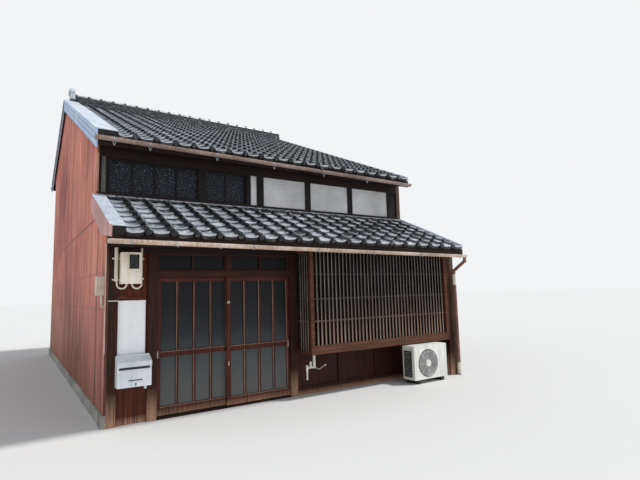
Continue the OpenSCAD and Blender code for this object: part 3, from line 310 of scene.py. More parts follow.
def ribbed(name, axis, valley, lap):
    """Painted sheet with a line of painted shade in each valley and a broader one of painted shadow and dirt
    at each side lap.
    """
    material = coated(name, CLADDING, 0.5, streak_mm=70, cloud_m=4.0)
    tree = material.node_tree
    shader = tree.nodes["Principled BSDF"]
    colour = shader.inputs["Base Color"].links[0].from_socket
    place = add(tree, "ShaderNodeTexCoord").outputs["Object"]
    parts = add(tree, "ShaderNodeSeparateXYZ", {}, {0: place})
    # Each valley gets a line of painted shade, and each lap a broader line of painted shadow and dirt.
    for first, pitch, stops in ((valley, RIB_PITCH, [(0.1, 0.2), (0.25, 0.75), (0.5, 1.0)]),
                                (lap, SHEET_W, [(0.035, 0.3), (0.08, 1.0)])):
        along = add(tree, "ShaderNodeMath", {1: first}, {0: parts.outputs[axis]}, operation="SUBTRACT")
        fold = add(tree, "ShaderNodeMath", {1: pitch / 2}, {0: along.outputs[0]}, operation="PINGPONG")
        share = add(tree, "ShaderNodeMath", {1: 2 / pitch}, {0: fold.outputs[0]}, operation="MULTIPLY")
        shade = add(tree, "ShaderNodeValToRGB", {}, {"Fac": share.outputs[0]}, stops=stops)
        drawn = add(tree, "ShaderNodeMix", {0: 1.0}, {6: colour, 7: shade.outputs[0]}, data_type="RGBA",
                    blend_type="MULTIPLY")
        colour = drawn.outputs[2]
    # The sheet darkens towards the ground, by height alone.
    toward_ground = add(tree, "ShaderNodeMapRange",
               {"From Min": DARKEST_UP_TO, "From Max": EVEN_FROM, "To Min": LOWEST_SHARE, "To Max": 1.0},
               {"Value": parts.outputs["Z"]})
    darker_low = add(tree, "ShaderNodeMix", {0: 1.0}, {6: colour, 7: toward_ground.outputs[0]}, data_type="RGBA",
                   blend_type="MULTIPLY")
    tree.links.new(darker_low.outputs[2], shader.inputs["Base Color"])
    return material


gable_sheet = ribbed("red-brown ribbed steel, gable", "Y", at(0, VALLEY, 0).y, at(0, LAP, 0).y)
rear_sheet = ribbed("red-brown ribbed steel, rear", "X", at(CLAD_RIGHT - VALLEY, 0, 0).x,
                    at(CLAD_RIGHT - LAP, 0, 0).x)

# %% [markdown]
# Smoked roof tile is clay fired in smoke: the skin is carbon, dark grey with a silver sheen, and each tile
# leaves the kiln with its own tone. Painted light is added to that tone: a painted sky reflection on the
# pans, painted highlights on their lower rims, and painted shade on the rolls. The tone is stored on the tile
# as a number, so the shader can read it. Lichen adds clouds and small pale specks, and a thin clear coat
# makes the skin shine at a low angle.

# %% Smoked tile
CLOUDS, SPECKS = 12.0, 70.0  # turns per metre


def tile_finish(name, colours, roughness=0.36):
    """Fired clay whose tone, painted light and shade included, comes from the tile, with lichen over it."""
    material, tree, shader, place = finish(name, roughness, Metallic=0.25, Coat_Weight=0.2,
                                           Coat_Roughness=0.25)
    tone = add(tree, "ShaderNodeAttribute", attribute_name="tone")
    cloud = add(tree, "ShaderNodeTexNoise", {"Scale": CLOUDS, "Detail": 6.0, "Roughness": 0.7},
                {"Vector": place})
    lichen = add(tree, "ShaderNodeMapRange",
                 {"From Min": 0.32, "From Max": 0.68, "To Min": 0.12, "To Max": 0.88},
                 {"Value": cloud.outputs[0]})
    mixed = add(tree, "ShaderNodeMath", {}, {0: tone.outputs["Fac"], 1: lichen.outputs[0]}, operation="ADD")
    half = add(tree, "ShaderNodeMath", {1: 0.5}, {0: mixed.outputs[0]}, operation="MULTIPLY")
    colour = add(tree, "ShaderNodeValToRGB", {}, {"Fac": half.outputs[0]},
                 stops=[(0.22, colours[0]), (0.46, colours[1]), (0.8, colours[2])])
    speck = add(tree, "ShaderNodeTexNoise", {"Scale": SPECKS, "Detail": 3.0}, {"Vector": place})
    where = add(tree, "ShaderNodeValToRGB", {}, {"Fac": speck.outputs[0]}, stops=[(0.6, 0.0), (0.74, 0.4)])
    dusty = add(tree, "ShaderNodeMix", {7: paint("85888a")}, {0: where.outputs[0], 6: colour.outputs[0]},
                data_type="RGBA")
    tree.links.new(dusty.outputs[2], shader.inputs["Base Color"])
    rough = add(tree, "ShaderNodeMapRange", {"To Min": roughness - 0.08, "To Max": roughness + 0.25},
                {"Value": cloud.outputs[0]})
    tree.links.new(rough.outputs[0], shader.inputs["Roughness"])
    relief = add(tree, "ShaderNodeBump", {"Strength": 0.2, "Distance": 0.002}, {"Height": speck.outputs[0]})
    tree.links.new(relief.outputs[0], shader.inputs["Normal"])
    return material


roof_tile = tile_finish("smoked roof tile", ("060708", "303337", "c3c8ce"))
pale_tile = tile_finish("pale ridge-end tile", ("b4b9be", "d2d6d9", "e6e9ea"), roughness=0.55)

# %% [markdown]
# Lime plaster is white and slightly uneven from the trowel. Concrete is mixed from sand and grit, so its
# specks are millimetres wide.

# %% Plaster and concrete
def mineral(name, colours, cloud_m, grit_mm, roughness=0.85, depth=0.003):
    """Plaster or concrete: broad clouds of tone with fine grit over them."""
    material, tree, shader, place = finish(name, roughness)
    cloud = add(tree, "ShaderNodeTexNoise", {"Scale": 1 / cloud_m, "Detail": 7.0, "Roughness": 0.6},
                {"Vector": place})
    grit = add(tree, "ShaderNodeTexNoise", {"Scale": 1000 / grit_mm, "Detail": 2.0}, {"Vector": place})
    share = add(tree, "ShaderNodeMix", {0: 0.25}, {2: cloud.outputs[0], 3: grit.outputs[0]})
    colour = add(tree, "ShaderNodeValToRGB", {}, {"Fac": share.outputs[0]},
                 stops=[(0.36, colours[0]), (0.5, colours[1]), (0.62, colours[2])])
    tree.links.new(colour.outputs[0], shader.inputs["Base Color"])
    relief = add(tree, "ShaderNodeBump", {"Strength": 0.3, "Distance": depth}, {"Height": grit.outputs[0]})
    tree.links.new(relief.outputs[0], shader.inputs["Normal"])
    return material


plaster = mineral("lime plaster", ("b3b0af", "cfcdcc", "e2e0df"), 0.9, 12, depth=0.001)
core_plaster = mineral("clay wall core", ("8f8470", "a79b86", "bcb19c"), 0.6, 15)
concrete = mineral("cast concrete", ("77736b", "938f87", "aeaaa2"), 0.35, 7)

# %% [markdown]
# The doors have frosted panes, a soft blue-grey, with painted reflection and shade that make them pale near
# the ground and dark under the eaves. The upper windows have figured glass, rolled with a small relief, with
# sparks of light painted into its colour as glints. Behind the lattice the panes are black with the unlit
# room, and at the rear they are plain.

# %% Glass
frosted, tree, shader, place = finish("frosted glass", 0.45, "56626a", Specular_IOR_Level=0.25)
# The tint by height is painted reflection and shade: pale near the ground, dark under the eaves.
height = add(tree, "ShaderNodeSeparateXYZ", {}, {0: place})
lower = add(tree, "ShaderNodeMapRange", {"From Min": 0.2, "From Max": 2.2}, {"Value": height.outputs["Z"]})
veil = add(tree, "ShaderNodeTexNoise", {"Scale": 3.0, "Detail": 3.0}, {"Vector": place})
mixed = add(tree, "ShaderNodeMix", {0: 0.12}, {2: lower.outputs[0], 3: veil.outputs[0]})
tint = add(tree, "ShaderNodeValToRGB", {}, {"Fac": mixed.outputs[0]},
           stops=[(0.08, "5c5d5c"), (0.3, "484b4c"), (0.45, "26292d"), (0.62, "111417"), (0.9, "0a0b0d")])
tree.links.new(tint.outputs[0], shader.inputs["Base Color"])

figured, tree, shader, place = finish("figured glass", 0.25, "16191e", Specular_IOR_Level=0.2)
cells = add(tree, "ShaderNodeTexVoronoi", {"Scale": 85.0, "Randomness": 1.0}, {"Vector": place})
bumps = add(tree, "ShaderNodeBump", {"Strength": 0.8, "Distance": 0.003},
            {"Height": cells.outputs["Distance"]})
tree.links.new(bumps.outputs[0], shader.inputs["Normal"])
glints = add(tree, "ShaderNodeTexNoise", {"Scale": 52.0, "Detail": 3.0, "Roughness": 0.7},
             {"Vector": place})
# The glass's colour carries painted glints, bright specks of reflected light.
painted_glints = add(tree, "ShaderNodeValToRGB", {}, {"Fac": glints.outputs[0]},
             stops=[(0.42, "050608"), (0.55, "14181f"), (0.63, "4a5462"), (0.72, "cdd6e2")])
tree.links.new(painted_glints.outputs[0], shader.inputs["Base Color"])

clear = finish("window glass", 0.04, "bcc6c8", Transmission_Weight=1.0, IOR=1.5)[0]
shut = finish("dark window glass", 0.12, "0a0b0c", Specular_IOR_Level=0.15)[0]
meter_glass = finish("dark meter window", 0.08, "101214")[0]

# %% [markdown]
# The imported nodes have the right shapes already, so they only need the finish of the real piece.

# %% Finish the construction
FINISH_OF = {
    concrete: "footings ground_floor",
    core_plaster: "gable_wall rear_wall",
    gable_sheet: "gable_cladding",
    rear_sheet: "rear_cladding",
    board_wood: "party_wall upper_floor roof_boards",
    dark_upright: "front_posts bay_sashes",
    # The upper storey's cedar carries painted shade.
    shaded_upright: "upper_posts upper_sashes",
    dark_level: "front_beam upper_beams eave_boards door_track",
    head_wood: "door_head",
    dark_rafter: "roof_rafters",
    panel_wood: "left_panel",
    low_boards: "wainscot",
    door_wood: "left_door right_door",
    bay_wood: "bay_frame",
    lattice_wood: "bay_lattice",
    plaster: "upper_panels",
    sheet_white: "notice_sheet",
    frosted: "left_door_glass right_door_glass transom_glass",
    figured: "upper_glass",
    shut: "bay_glass",
    clear: "rear_glass",
    silver: "rear_windows",
    roof_tile: "roof_ridge main_tiles pent_tiles",
    pale_tile: "ridge_end",
    verge_pink: "pent_verge_board",
    verge_blue: "verge_boards",
    flashing_steel: "pent_verge_flashing verge_flashing side_flashing",
    gutter_beige: "pent_gutter",
    gutter_brown: "main_gutters",
    pipe_red: "downpipe",
    zinc: "gutter_brackets",
    meter_cream: "meter_box",
    grey_box: "junction_box",
    box_enamel: "letter_box letter_box_lid",
    cooler_white: "cooling_unit",
    guard_grey: "cooling_grille",
    conduit_cream: "pipework",
}
for material, names in FINISH_OF.items():
    for name in names.split():
        for slot in nodes[name].material_slots:
            slot.material = material
bare = set(nodes) - set(" ".join(FINISH_OF.values()).split())
print("nodes without a finish:", sorted(bare))

# %% [markdown]
# New pieces are drawn with bmesh. One helper turns a finished bmesh into an object that rides on its
# body. Others keep a shape as a mesh and stamp copies of it, or add a box with softened edges or a
# round bar, for trims, clamps and handles.

# %% Helpers for new pieces
SHARP = math.radians(38)


def kept(bm, name):
    """Keep a finished bmesh as a mesh."""
    mesh = bpy.data.meshes.new(name)
    bm.to_mesh(mesh)
    bm.free()
    return mesh


def stamp(bm, mesh):
    """Add a copy of a kept mesh and return its points."""
    count = len(bm.verts)
    bm.from_mesh(mesh)
    bm.verts.ensure_lookup_table()
    return bm.verts[count:]


def piece(name, bm, material, slot, body="house", *replaced):
    """Make the bmesh an object, shade it smooth up to its sharp edges, and let it ride on a body."""
    for face in bm.faces:
        face.smooth = True
    for edge in bm.edges:
        if len(edge.link_faces) == 2 and edge.calc_face_angle() > SHARP:
            edge.smooth = False
    mesh = kept(bm, name)
    mesh.materials.append(material)
    made = bpy.data.objects.new(name, mesh)
    scene.collection.objects.link(made)
    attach(made, body)
    if replaced:
        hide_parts(*replaced)
    print(name, len(mesh.polygons), "faces")


def block(bm, low, high, soft=0.002):
    """A box between two places, with its edges softened."""
    low, high = Vector(low), Vector(high)
    made = bmesh.ops.create_cube(bm, size=1.0)["verts"]
    bmesh.ops.scale(bm, vec=high - low, verts=made)
    bmesh.ops.translate(bm, vec=(low + high) / 2, verts=made)
    if soft:
        edges = list({edge for vert in made for edge in vert.link_edges})
        bmesh.ops.bevel(bm, geom=edges, offset=soft, affect="EDGES", segments=2, profile=0.5, material=-1,
                        clamp_overlap=True)
    return made


def bar(bm, start, end, radius, sides=20, tip=None):
    """A round bar, or a cone, from one place to another."""
    start, end = Vector(start), Vector(end)
    turn = (end - start).to_track_quat("Z", "Y").to_matrix().to_4x4()
    bmesh.ops.create_cone(bm, cap_ends=True, segments=sides, radius1=radius,
                          radius2=radius if tip is None else tip, depth=(end - start).length,
                          matrix=Matrix.Translation((start + end) / 2) @ turn)


# %% [markdown]
# A pantile is a shallow S: a hollow pan, then a roll at its right edge that covers its neighbour. Tiles
# lie in courses from the eave up, each course resting on the one below, so its tail stands up by the
# thickness of a tile and throws the small shadow that gives the roof its texture. One tile is drawn
# as a wavy line, pulled up the slope and given its thickness, and then laid hundreds of times.

# %% One pantile
TILE_W = 0.300
TILE_T = 0.016
EXPOSED = 0.238
OVERLAP = 0.045
TAIL_RIM = 0.02
TILE_BASE, PAN, ROLL, ROLL_SHARE = 0.015, 0.018, 0.028, 0.36
PAN_SHARE = 1 - ROLL_SHARE
TAIL_UP, HEAD_DOWN, EDGE_UP, ROLL_UP = 0.018, 0.014, 0.008, 0.004
PAN_STEPS = [PAN_SHARE * i / 6 for i in range(7)]
ROLL_STEPS = [PAN_SHARE + ROLL_SHARE * i / 8 for i in range(9)]


def wave(u):
    """Height of the tile's face over the boards, for u from 0 to 1 across it."""
    if u <= PAN_SHARE:
        return TILE_BASE + PAN - PAN * math.sin(math.pi * u / PAN_SHARE) ** 0.6 + EDGE_UP * u
    bulge = max(0.0, math.sin(math.pi * (u - PAN_SHARE) / ROLL_SHARE))
    return TILE_BASE + PAN + (ROLL + ROLL_UP) * bulge ** 0.7 + EDGE_UP * u


def wavy_row(bm, width, steps):
    """Vertices along the tile's face, joined by edges."""
    row = [bm.verts.new((u * width, 0.0, wave(u) + TAIL_UP)) for u in steps]
    return [bm.edges.new(pair) for pair in zip(row, row[1:])]


def pull(bm, edges, shift):
    """Pull the edges along to new ones, leaving faces between, and return the new edges."""
    drawn = bmesh.ops.extrude_edge_only(bm, edges=edges)["geom"]
    bmesh.ops.translate(bm, vec=shift, verts=[v for v in drawn if isinstance(v, bmesh.types.BMVert)])
    return [e for e in drawn if isinstance(e, bmesh.types.BMEdge)]


def pantile(width, steps):
    """One tile, with its tail at y = 0 and its head up the slope."""
    bm = bmesh.new()
    edges = wavy_row(bm, width, steps)
    length, fall = EXPOSED + OVERLAP, -TAIL_UP - HEAD_DOWN
    far = pull(bm, edges, (0.0, TAIL_RIM, fall * TAIL_RIM / length))
    pull(bm, [e for e in far if all(abs(v.co.y - TAIL_RIM) < 1e-5 for v in e.verts)],
         (0.0, length - TAIL_RIM, fall * (1 - TAIL_RIM / length)))
    bmesh.ops.solidify(bm, geom=bm.faces[:], thickness=TILE_T)
    bmesh.ops.recalc_face_normals(bm, faces=bm.faces[:])
    return kept(bm, "one pantile")


# %% [markdown]
# The lowest tiles have a face of their own: an apron hangs from the pan and hides the boards' ends,
# and a round button closes the roll. They are what one sees of a tiled eave from below.

# %% The eave tile's face
APRON = 0.045
BUTTON_R = 0.04


def eave_face(width, steps):
    """The apron, with a button under a roll."""
    bm = bmesh.new()
    pull(bm, wavy_row(bm, width, PAN_STEPS), (0.0, 0.004, -APRON))
    bmesh.ops.solidify(bm, geom=bm.faces[:], thickness=TILE_T)
    if steps != PAN_STEPS:
        middle = Vector(((PAN_SHARE + ROLL_SHARE / 2) * width, 0.0,
                         wave(PAN_SHARE + ROLL_SHARE / 2) + TAIL_UP - BUTTON_R + 0.003))
        bar(bm, middle + Vector((0, 0.02, 0)), middle - Vector((0, 0.012, 0)), BUTTON_R, 18)
        bar(bm, middle, middle - Vector((0, 0.018, 0)), BUTTON_R * 0.6, 14)
    bmesh.ops.recalc_face_normals(bm, faces=bm.faces[:])
    return kept(bm, "eave face")


# %% [markdown]
# Each tile gets a tone of its own from a seeded random draw around the tone of its kiln load. On top of it
# light and shade are painted. The pan is lighter towards its tail and beside the neighbour's roll, as a
# painted sky reflection. The rim carries the brightest painted highlight, and the crest of the roll a painted
# highlight too. The roll's left flank and the eave's apron carry painted shade.

# %% Lay a roof
random.seed(7)
# Painted light on the tiles: sky sheen on the pans, highlights on the rims and roll crests, and shade on the
# roll's left flank and the aprons.
PAN_SKY_SHEEN, RIM_HIGHLIGHT, CREST_HIGHLIGHT, FLANK_SHADE, APRON_SHADE = 0.6, 0.9, 0.3, -0.9, -0.25
FLANK_SHARE, SHEEN_REACH = 0.5, 0.4
TONE_SPREAD, LOWEST_TONE, HIGHEST_TONE = 0.14, -0.3, 1.6
ASIDE, RAISED = 0.0015, 0.002
TILE_RIGHT = 5.990


def tile_painted_light(corner, width):
    """The painted light and shade at a point of the tile: how much lighter or darker it is than the tile's
    own tone.
    """
    u = corner.x / width
    if u > PAN_SHARE:
        return FLANK_SHADE if u < PAN_SHARE + FLANK_SHARE * ROLL_SHARE else CREST_HIGHLIGHT
    pan_sheen = PAN_SKY_SHEEN * (1.0 - (u / PAN_SHARE) ** 4) * (1.0 - corner.y / SHEEN_REACH)
    return pan_sheen + (RIM_HIGHLIGHT if corner.y < TAIL_RIM / 2 else 0.0)


def lay(field, left, low, high, board, pitch, kiln_tone, turned=False):
    """Courses of pantiles of one kiln load, from low to high. A turned field climbs towards the front."""
    corner = at(TILE_RIGHT if turned else left, low, board(low))
    width, length = TILE_RIGHT - left, abs(high - low) / math.cos(pitch)
    columns, rows = round(width / TILE_W - PAN_SHARE), round(length / EXPOSED)
    cover, step = width / (columns + PAN_SHARE), length / rows
    whole = PAN_STEPS + ROLL_STEPS[1:]
    shapes = {steps is whole: (pantile(cover - 0.001, steps), eave_face(cover - 0.001, steps))
              for steps in (whole, PAN_STEPS)}
    slope = Matrix.Translation(corner) @ Matrix.Rotation(math.pi if turned else 0.0, 4, "Z") \
        @ Matrix.Rotation(pitch, 4, "X")
    tone = field.verts.layers.float.get("tone") or field.verts.layers.float.new("tone")
    for row in range(rows):
        for column in range(columns + 1):
            tile, face = shapes[column < columns]
            shift = Vector((column * cover + random.uniform(-ASIDE, ASIDE), row * step,
                            random.uniform(-RAISED, RAISED)))
            own = random.gauss(kiln_tone, TONE_SPREAD)
            for shape in (tile, face) if row == 0 else (tile,):
                fresh = stamp(field, shape)
                for vert in fresh:
                    extra = APRON_SHADE if shape == face else tile_painted_light(vert.co, cover)
                    vert[tone] = min(HIGHEST_TONE, max(LOWEST_TONE, own + extra))
                bmesh.ops.transform(field, matrix=slope @ Matrix.Translation(shift), verts=fresh)
    for pair in shapes.values():
        for mesh in pair:
            bpy.data.meshes.remove(mesh)


# %% [markdown]
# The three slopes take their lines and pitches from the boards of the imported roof.

# %% The tiled slopes
PENT_PITCH, MAIN_PITCH, REAR_PITCH = (math.radians(v) for v in (24.0, 24.0, 22.5))
TILE_H = TILE_BASE + PAN + ROLL
RIDGE_Y, RIDGE_BOARD_Z = 6.480, 6.503
PENT_LEFT, MAIN_LEFT = 0.105, 0.230
PENT_LOW, PENT_HIGH, UPPER_Y, UPPER_Z = -0.680, 0.880, 0.973, 3.120
MAIN_LOW, MAIN_HIGH, REAR_LOW, REAR_HIGH = 0.653, 6.345, 9.950, 6.615
JOINT, SHORTEST = 0.004, 0.02


def pent_board(y):
    return UPPER_Z - TILE_H / math.cos(PENT_PITCH) + (y - UPPER_Y) * math.tan(PENT_PITCH)


def main_board(y):
    return RIDGE_BOARD_Z + (y - RIDGE_Y) * math.tan(MAIN_PITCH)


def rear_board(y):
    return RIDGE_BOARD_Z - (y - RIDGE_Y) * math.tan(REAR_PITCH)


def along(bm, left, right, y, z, length=TILE_W):
    """A course of flat tiles between two depths and two heights. The first may be shorter."""
    while left < right - SHORTEST:
        end = min(right, left + length)
        block(bm, at(left, y[0], z[0]), at(end - JOINT, y[1], z[1]), 0.003)
        left, length = end, TILE_W


def tone_new(bm, value):
    """Give this tone to every point that has none yet."""
    tone = bm.verts.layers.float["tone"]
    for vert in bm.verts:
        if vert[tone] == 0.0:
            vert[tone] = value


pent = bmesh.new()
lay(pent, PENT_LEFT, PENT_LOW, PENT_HIGH, pent_board, PENT_PITCH, kiln_tone=0.46)
along(pent, PENT_LEFT, 5.966, (0.862, 0.970), (3.046, 3.074))
tone_new(pent, 0.1)
along(pent, PENT_LEFT, 5.966, (0.872, 0.970), (3.076, 3.099), TILE_W / 2)
tone_new(pent, 0.8)
piece("pent_courses", pent, roof_tile, "roof_tile", "house", "pent_tiles")

front = bmesh.new()
lay(front, MAIN_LEFT, MAIN_LOW, MAIN_HIGH, main_board, MAIN_PITCH, kiln_tone=0.58)
piece("front_courses", front, roof_tile, "roof_tile")

rear = bmesh.new()
lay(rear, MAIN_LEFT, REAR_LOW, REAR_HIGH, rear_board, REAR_PITCH, kiln_tone=0.5, turned=True)
piece("rear_courses", rear, roof_tile, "roof_tile", "house", "main_tiles")

# %% [markdown]
# The ridge is built up from flat tiles in thin courses with staggered joints, every second one standing out a
# little, so that each throws a line of shadow. Half-round caps close it in a paler tone, and where two meet a
# dark collar covers the joint, which gives the ridge its row of small bumps.

# %% The ridge
RIDGE_LEFT, RIDGE_RIGHT = 0.170, 6.060
RIDGE_FOOT, COURSE, COURSES = 6.564, 0.027, 6
CAP_Z, CAP_R, CAPS = 6.709, 0.078, 20

ridge = bmesh.new()
ridge.verts.layers.float.new("tone")
block(ridge, at(RIDGE_LEFT, RIDGE_Y - 0.139, 6.470), at(RIDGE_RIGHT, RIDGE_Y + 0.139, RIDGE_FOOT - 0.002))
for number in range(COURSES):
    half = 0.127 - 0.008 * number + (0.005 if number % 2 else 0.0)
    foot = RIDGE_FOOT + COURSE * number
    along(ridge, RIDGE_LEFT, RIDGE_RIGHT, (RIDGE_Y - half, RIDGE_Y + half),
          (foot, foot + COURSE - 0.003), TILE_W / 2 if number % 2 else TILE_W)
tone_new(ridge, 0.3)
cap = (RIDGE_RIGHT - RIDGE_LEFT) / CAPS
for number in range(CAPS):
    left = RIDGE_LEFT + cap * number
    bar(ridge, at(left, RIDGE_Y, CAP_Z), at(left + cap - 0.003, RIDGE_Y, CAP_Z), CAP_R, 24,
        tip=CAP_R - 0.004)
tone_new(ridge, 0.75)
for number in range(CAPS):
    left = RIDGE_LEFT + cap * number
    bar(ridge, at(left, RIDGE_Y, CAP_Z), at(left + 0.045, RIDGE_Y, CAP_Z), CAP_R + 0.012, 24)
tone_new(ridge, -0.3)
piece("ridge_courses", ridge, roof_tile, "roof_tile", "house", "roof_ridge")

# %% [markdown]
# The verges are sheet steel over boards. Seams run along the blue-grey fascia, the flashing folds down over
# its top edge, and the rear verge is black. The open cut ends at the eaves are drawn as dark blocks of
# painted shade. Each trim follows the slope, so it is drawn as a level box and then sheared up by the height
# of the boards.

# %% Verge trims
def sloped(bm, low, high, line):
    """A box whose height follows a line of the roof."""
    verts = block(bm, at(*low), at(*high), 0)
    for vert in verts:
        vert.co.z += line(vert.co.y - CORNER.y)


VERGE_X = -0.070
MAIN_EAVE, REAR_EAVE, PENT_EAVE = 0.671, 9.932, -0.662
seams, caps, ends, rear_edge = (bmesh.new() for _ in range(4))
for line, start, end in ((main_board, MAIN_EAVE, RIDGE_Y), (rear_board, RIDGE_Y, REAR_EAVE)):
    for foot in (0.012, -0.078):
        sloped(seams, (VERGE_X - 0.004, start, foot), (VERGE_X, end, foot + 0.011), line)
    sloped(seams, (VERGE_X - 0.003, start, -0.179), (VERGE_X, end, -0.167), line)
    sloped(caps, (VERGE_X - 0.005, start, 0.092), (VERGE_X, end, 0.1125), line)
sloped(rear_edge, (VERGE_X - 0.007, RIDGE_Y + 0.002, -0.176), (VERGE_X - 0.004, REAR_EAVE, 0.088), rear_board)
# Dark blocks at the cut ends: painted shade inside the open ends.
sloped(ends, (-0.044, MAIN_EAVE - 0.005, 0.002), (0.229, MAIN_EAVE, 0.098), main_board)
sloped(ends, (-0.044, REAR_EAVE, 0.002), (0.229, REAR_EAVE + 0.005, 0.098), rear_board)
sloped(ends, (-0.044, PENT_EAVE - 0.005, 0.002), (0.104, PENT_EAVE, 0.106), pent_board)
piece("verge_seams", seams, verge_line, "verge_sheet")
piece("verge_caps", caps, flashing_steel, "flashing")
piece("rear_verge_sheet", rear_edge, verge_dark, "verge_sheet")
piece("verge_ends", ends, shaded_upright, "dark_timber")

# %% [markdown]
# Folded steel covers the front corner of the gable on both storeys, and on the lower one a pale strip of
# painted highlight runs along its fold. Dark strips of painted shadow run along the wall where one row of
# sheets laps over the next, and beside the fold. On the upper corner a bare board stands in front of the
# post.

# %% Corner covers and joint strip
covers = bmesh.new()
block(covers, at(-0.003, 0.968, 3.16), at(0.022, 1.036, 3.76), 0.003)
block(covers, at(-0.003, 0.004, 0.16), at(0.004, 0.064, 2.30), 0.001)
piece("corner_covers", covers, corner_red, "clad_sheet")

# Dark strips of painted shadow along the laps and beside the fold.
laps = bmesh.new()
block(laps, at(0.004, -0.005, 0.16), at(0.032, 0.003, 2.30), 0.001)
block(laps, at(-0.004, 0.450, 2.744), at(0.001, 7.2, 2.762), 0)
for height in (1.931, 1.446):
    block(laps, at(-0.002, 0.066, height), at(0.001, 9.446, height + 0.006), 0)
piece("corner_laps", laps, lap_shadow_red, "clad_sheet")

# A pale strip of painted highlight on the lower fold.
fold = bmesh.new()
block(fold, at(-0.004, -0.006, 0.9), at(0.004, 0.003, 2.30))
piece("corner_fold", fold, fold_highlight, "clad_sheet")

board = bmesh.new()
block(board, at(0.058, 0.964, 3.156), at(0.116, 0.974, 3.70))
piece("corner_board", board, grey_board, "grey_timber")

# %% [markdown]
# Steel hooks hold the gutters to the eave boards, and their loose ends hang below as small V shapes.

# %% Gutter ties
GUTTER_FALL = 0.0098


def tie(bm, x, y, z, size):
    """A bent wire: two legs that meet in a point below."""
    bar(bm, at(x - size * 0.4, y, z), at(x, y, z - size), 0.0035, 8)
    bar(bm, at(x, y, z - size), at(x + size * 0.5, y, z + size * 0.2), 0.0035, 8)


ties = bmesh.new()
for x in (0.16, 0.66, 1.71, 2.75, 3.80, 4.84):
    tie(ties, x, 0.588, 3.834 - x * GUTTER_FALL, 0.06)
for x in (0.68, 1.23, 1.69, 2.75, 3.8, 4.85):
    tie(ties, x, -0.772, 2.232 - x * GUTTER_FALL, 0.035)
piece("gutter_ties", ties, zinc, "zinc")

# %% [markdown]
# The meter box stands on the boards beside the door: a smooth side cover on its left, a window with a
# dark rubber frame, and two conduits held by clamps. The left one is a pair in one sleeve.

# %% Meter, conduits and clamps
METER_FRONT = -0.150
meter = bmesh.new()
block(meter, at(0.157, METER_FRONT - 0.008, 1.772), at(0.232, METER_FRONT + 0.002, 2.168), 0.006)
block(meter, at(0.236, METER_FRONT - 0.004, 1.776), at(0.398, METER_FRONT + 0.002, 1.960), 0.005)
piece("meter_covers", meter, meter_cream, "cream_plastic")

window = bmesh.new()
block(window, at(0.257, METER_FRONT + 0.006, 1.967), at(0.361, METER_FRONT + 0.012, 2.131), 0)
for low, high in (((0.250, 1.958), (0.368, 1.968)), ((0.250, 2.130), (0.368, 2.140)),
                  ((0.250, 1.958), (0.259, 2.140)), ((0.359, 1.958), (0.368, 2.140))):
    block(window, at(low[0], METER_FRONT - 0.006, low[1]), at(high[0], METER_FRONT + 0.004, high[1]), 0.001)
piece("meter_window", window, meter_glass, "dark_plastic")

sleeve = bmesh.new()
bar(sleeve, at(0.116, -0.024, 1.80), at(0.116, -0.024, 2.236), 0.023)
bar(sleeve, at(0.030, -0.012, 1.556), at(0.158, -0.012, 1.556), 0.007, 12)
bar(sleeve, at(-0.03, 0.10, 1.50), at(-0.03, 0.10, 1.63), 0.008, 12)
bar(sleeve, at(-0.03, 0.14, 1.53), at(-0.03, 0.14, 1.63), 0.008, 12)
bar(sleeve, at(-0.03, 0.10, 1.505), at(-0.008, 0.07, 1.47), 0.008, 12)
PAIR_CLAMP, SINGLE_CLAMP = (0.045, -0.024, 0.0245), (0.03, -0.0113, 0.013)
for x, z, (wide, y, ring) in ((0.116, 2.097, PAIR_CLAMP), (0.116, 1.825, PAIR_CLAMP),
                              (0.431, 2.100, SINGLE_CLAMP), (0.431, 1.835, SINGLE_CLAMP)):
    block(sleeve, at(x - wide, -0.006, z - 0.01), at(x + wide, 0.0, z + 0.01), 0.001)
    bar(sleeve, at(x, y, z - 0.01), at(x, y, z + 0.01), ring)
piece("conduit_sleeves", sleeve, conduit_cream, "cream_plastic")

# %% [markdown]
# The letter box has a slot under its lid, a narrow window for a card, a small lock, and a tab below.
# The lid carries a folded rim, so that piece rides on the lid and turns with it.

# %% Letter box details
BOX_FRONT = -0.150
marks = bmesh.new()
block(marks, at(0.150, BOX_FRONT - 0.001, 0.700), at(0.520, BOX_FRONT + 0.002, 0.730), 0)
block(marks, at(0.262, BOX_FRONT - 0.0015, 0.562), at(0.432, BOX_FRONT + 0.002, 0.574), 0)
bar(marks, at(0.350, BOX_FRONT + 0.002, 0.522), at(0.350, BOX_FRONT - 0.003, 0.522), 0.010, 16)
block(marks, at(0.347, BOX_FRONT - 0.0025, 0.494), at(0.353, BOX_FRONT + 0.002, 0.514), 0)
piece("letter_box_marks", marks, black_plastic, "dark_plastic")

rims = bmesh.new()
block(rims, at(0.150, BOX_FRONT - 0.008, 0.688), at(0.520, BOX_FRONT + 0.001, 0.701), 0.003)
block(rims, at(0.258, BOX_FRONT - 0.004, 0.552), at(0.436, BOX_FRONT + 0.001, 0.558), 0.001)
block(rims, at(0.480, -0.020, 0.425), at(0.512, -0.006, 0.486))
piece("letter_box_rims", rims, box_enamel, "zinc")

fold = bmesh.new()
block(fold, at(0.129, -0.1615, 0.733), at(0.541, -0.1585, 0.741), 0.001)
block(fold, at(0.129, -0.1615, 0.765), at(0.541, -0.1585, 0.770), 0.001)
piece("lid_folds", fold, box_enamel, "zinc", "letter_lid")

# %% [markdown]
# The door leaves are old and used. Pale strips along the left edges of the bars and the top edges of the
# rails are painted highlight, where light catches them. Beads hold each pane. Each leaf has a pull on its
# outer stile, and the leaf in front carries the lock.

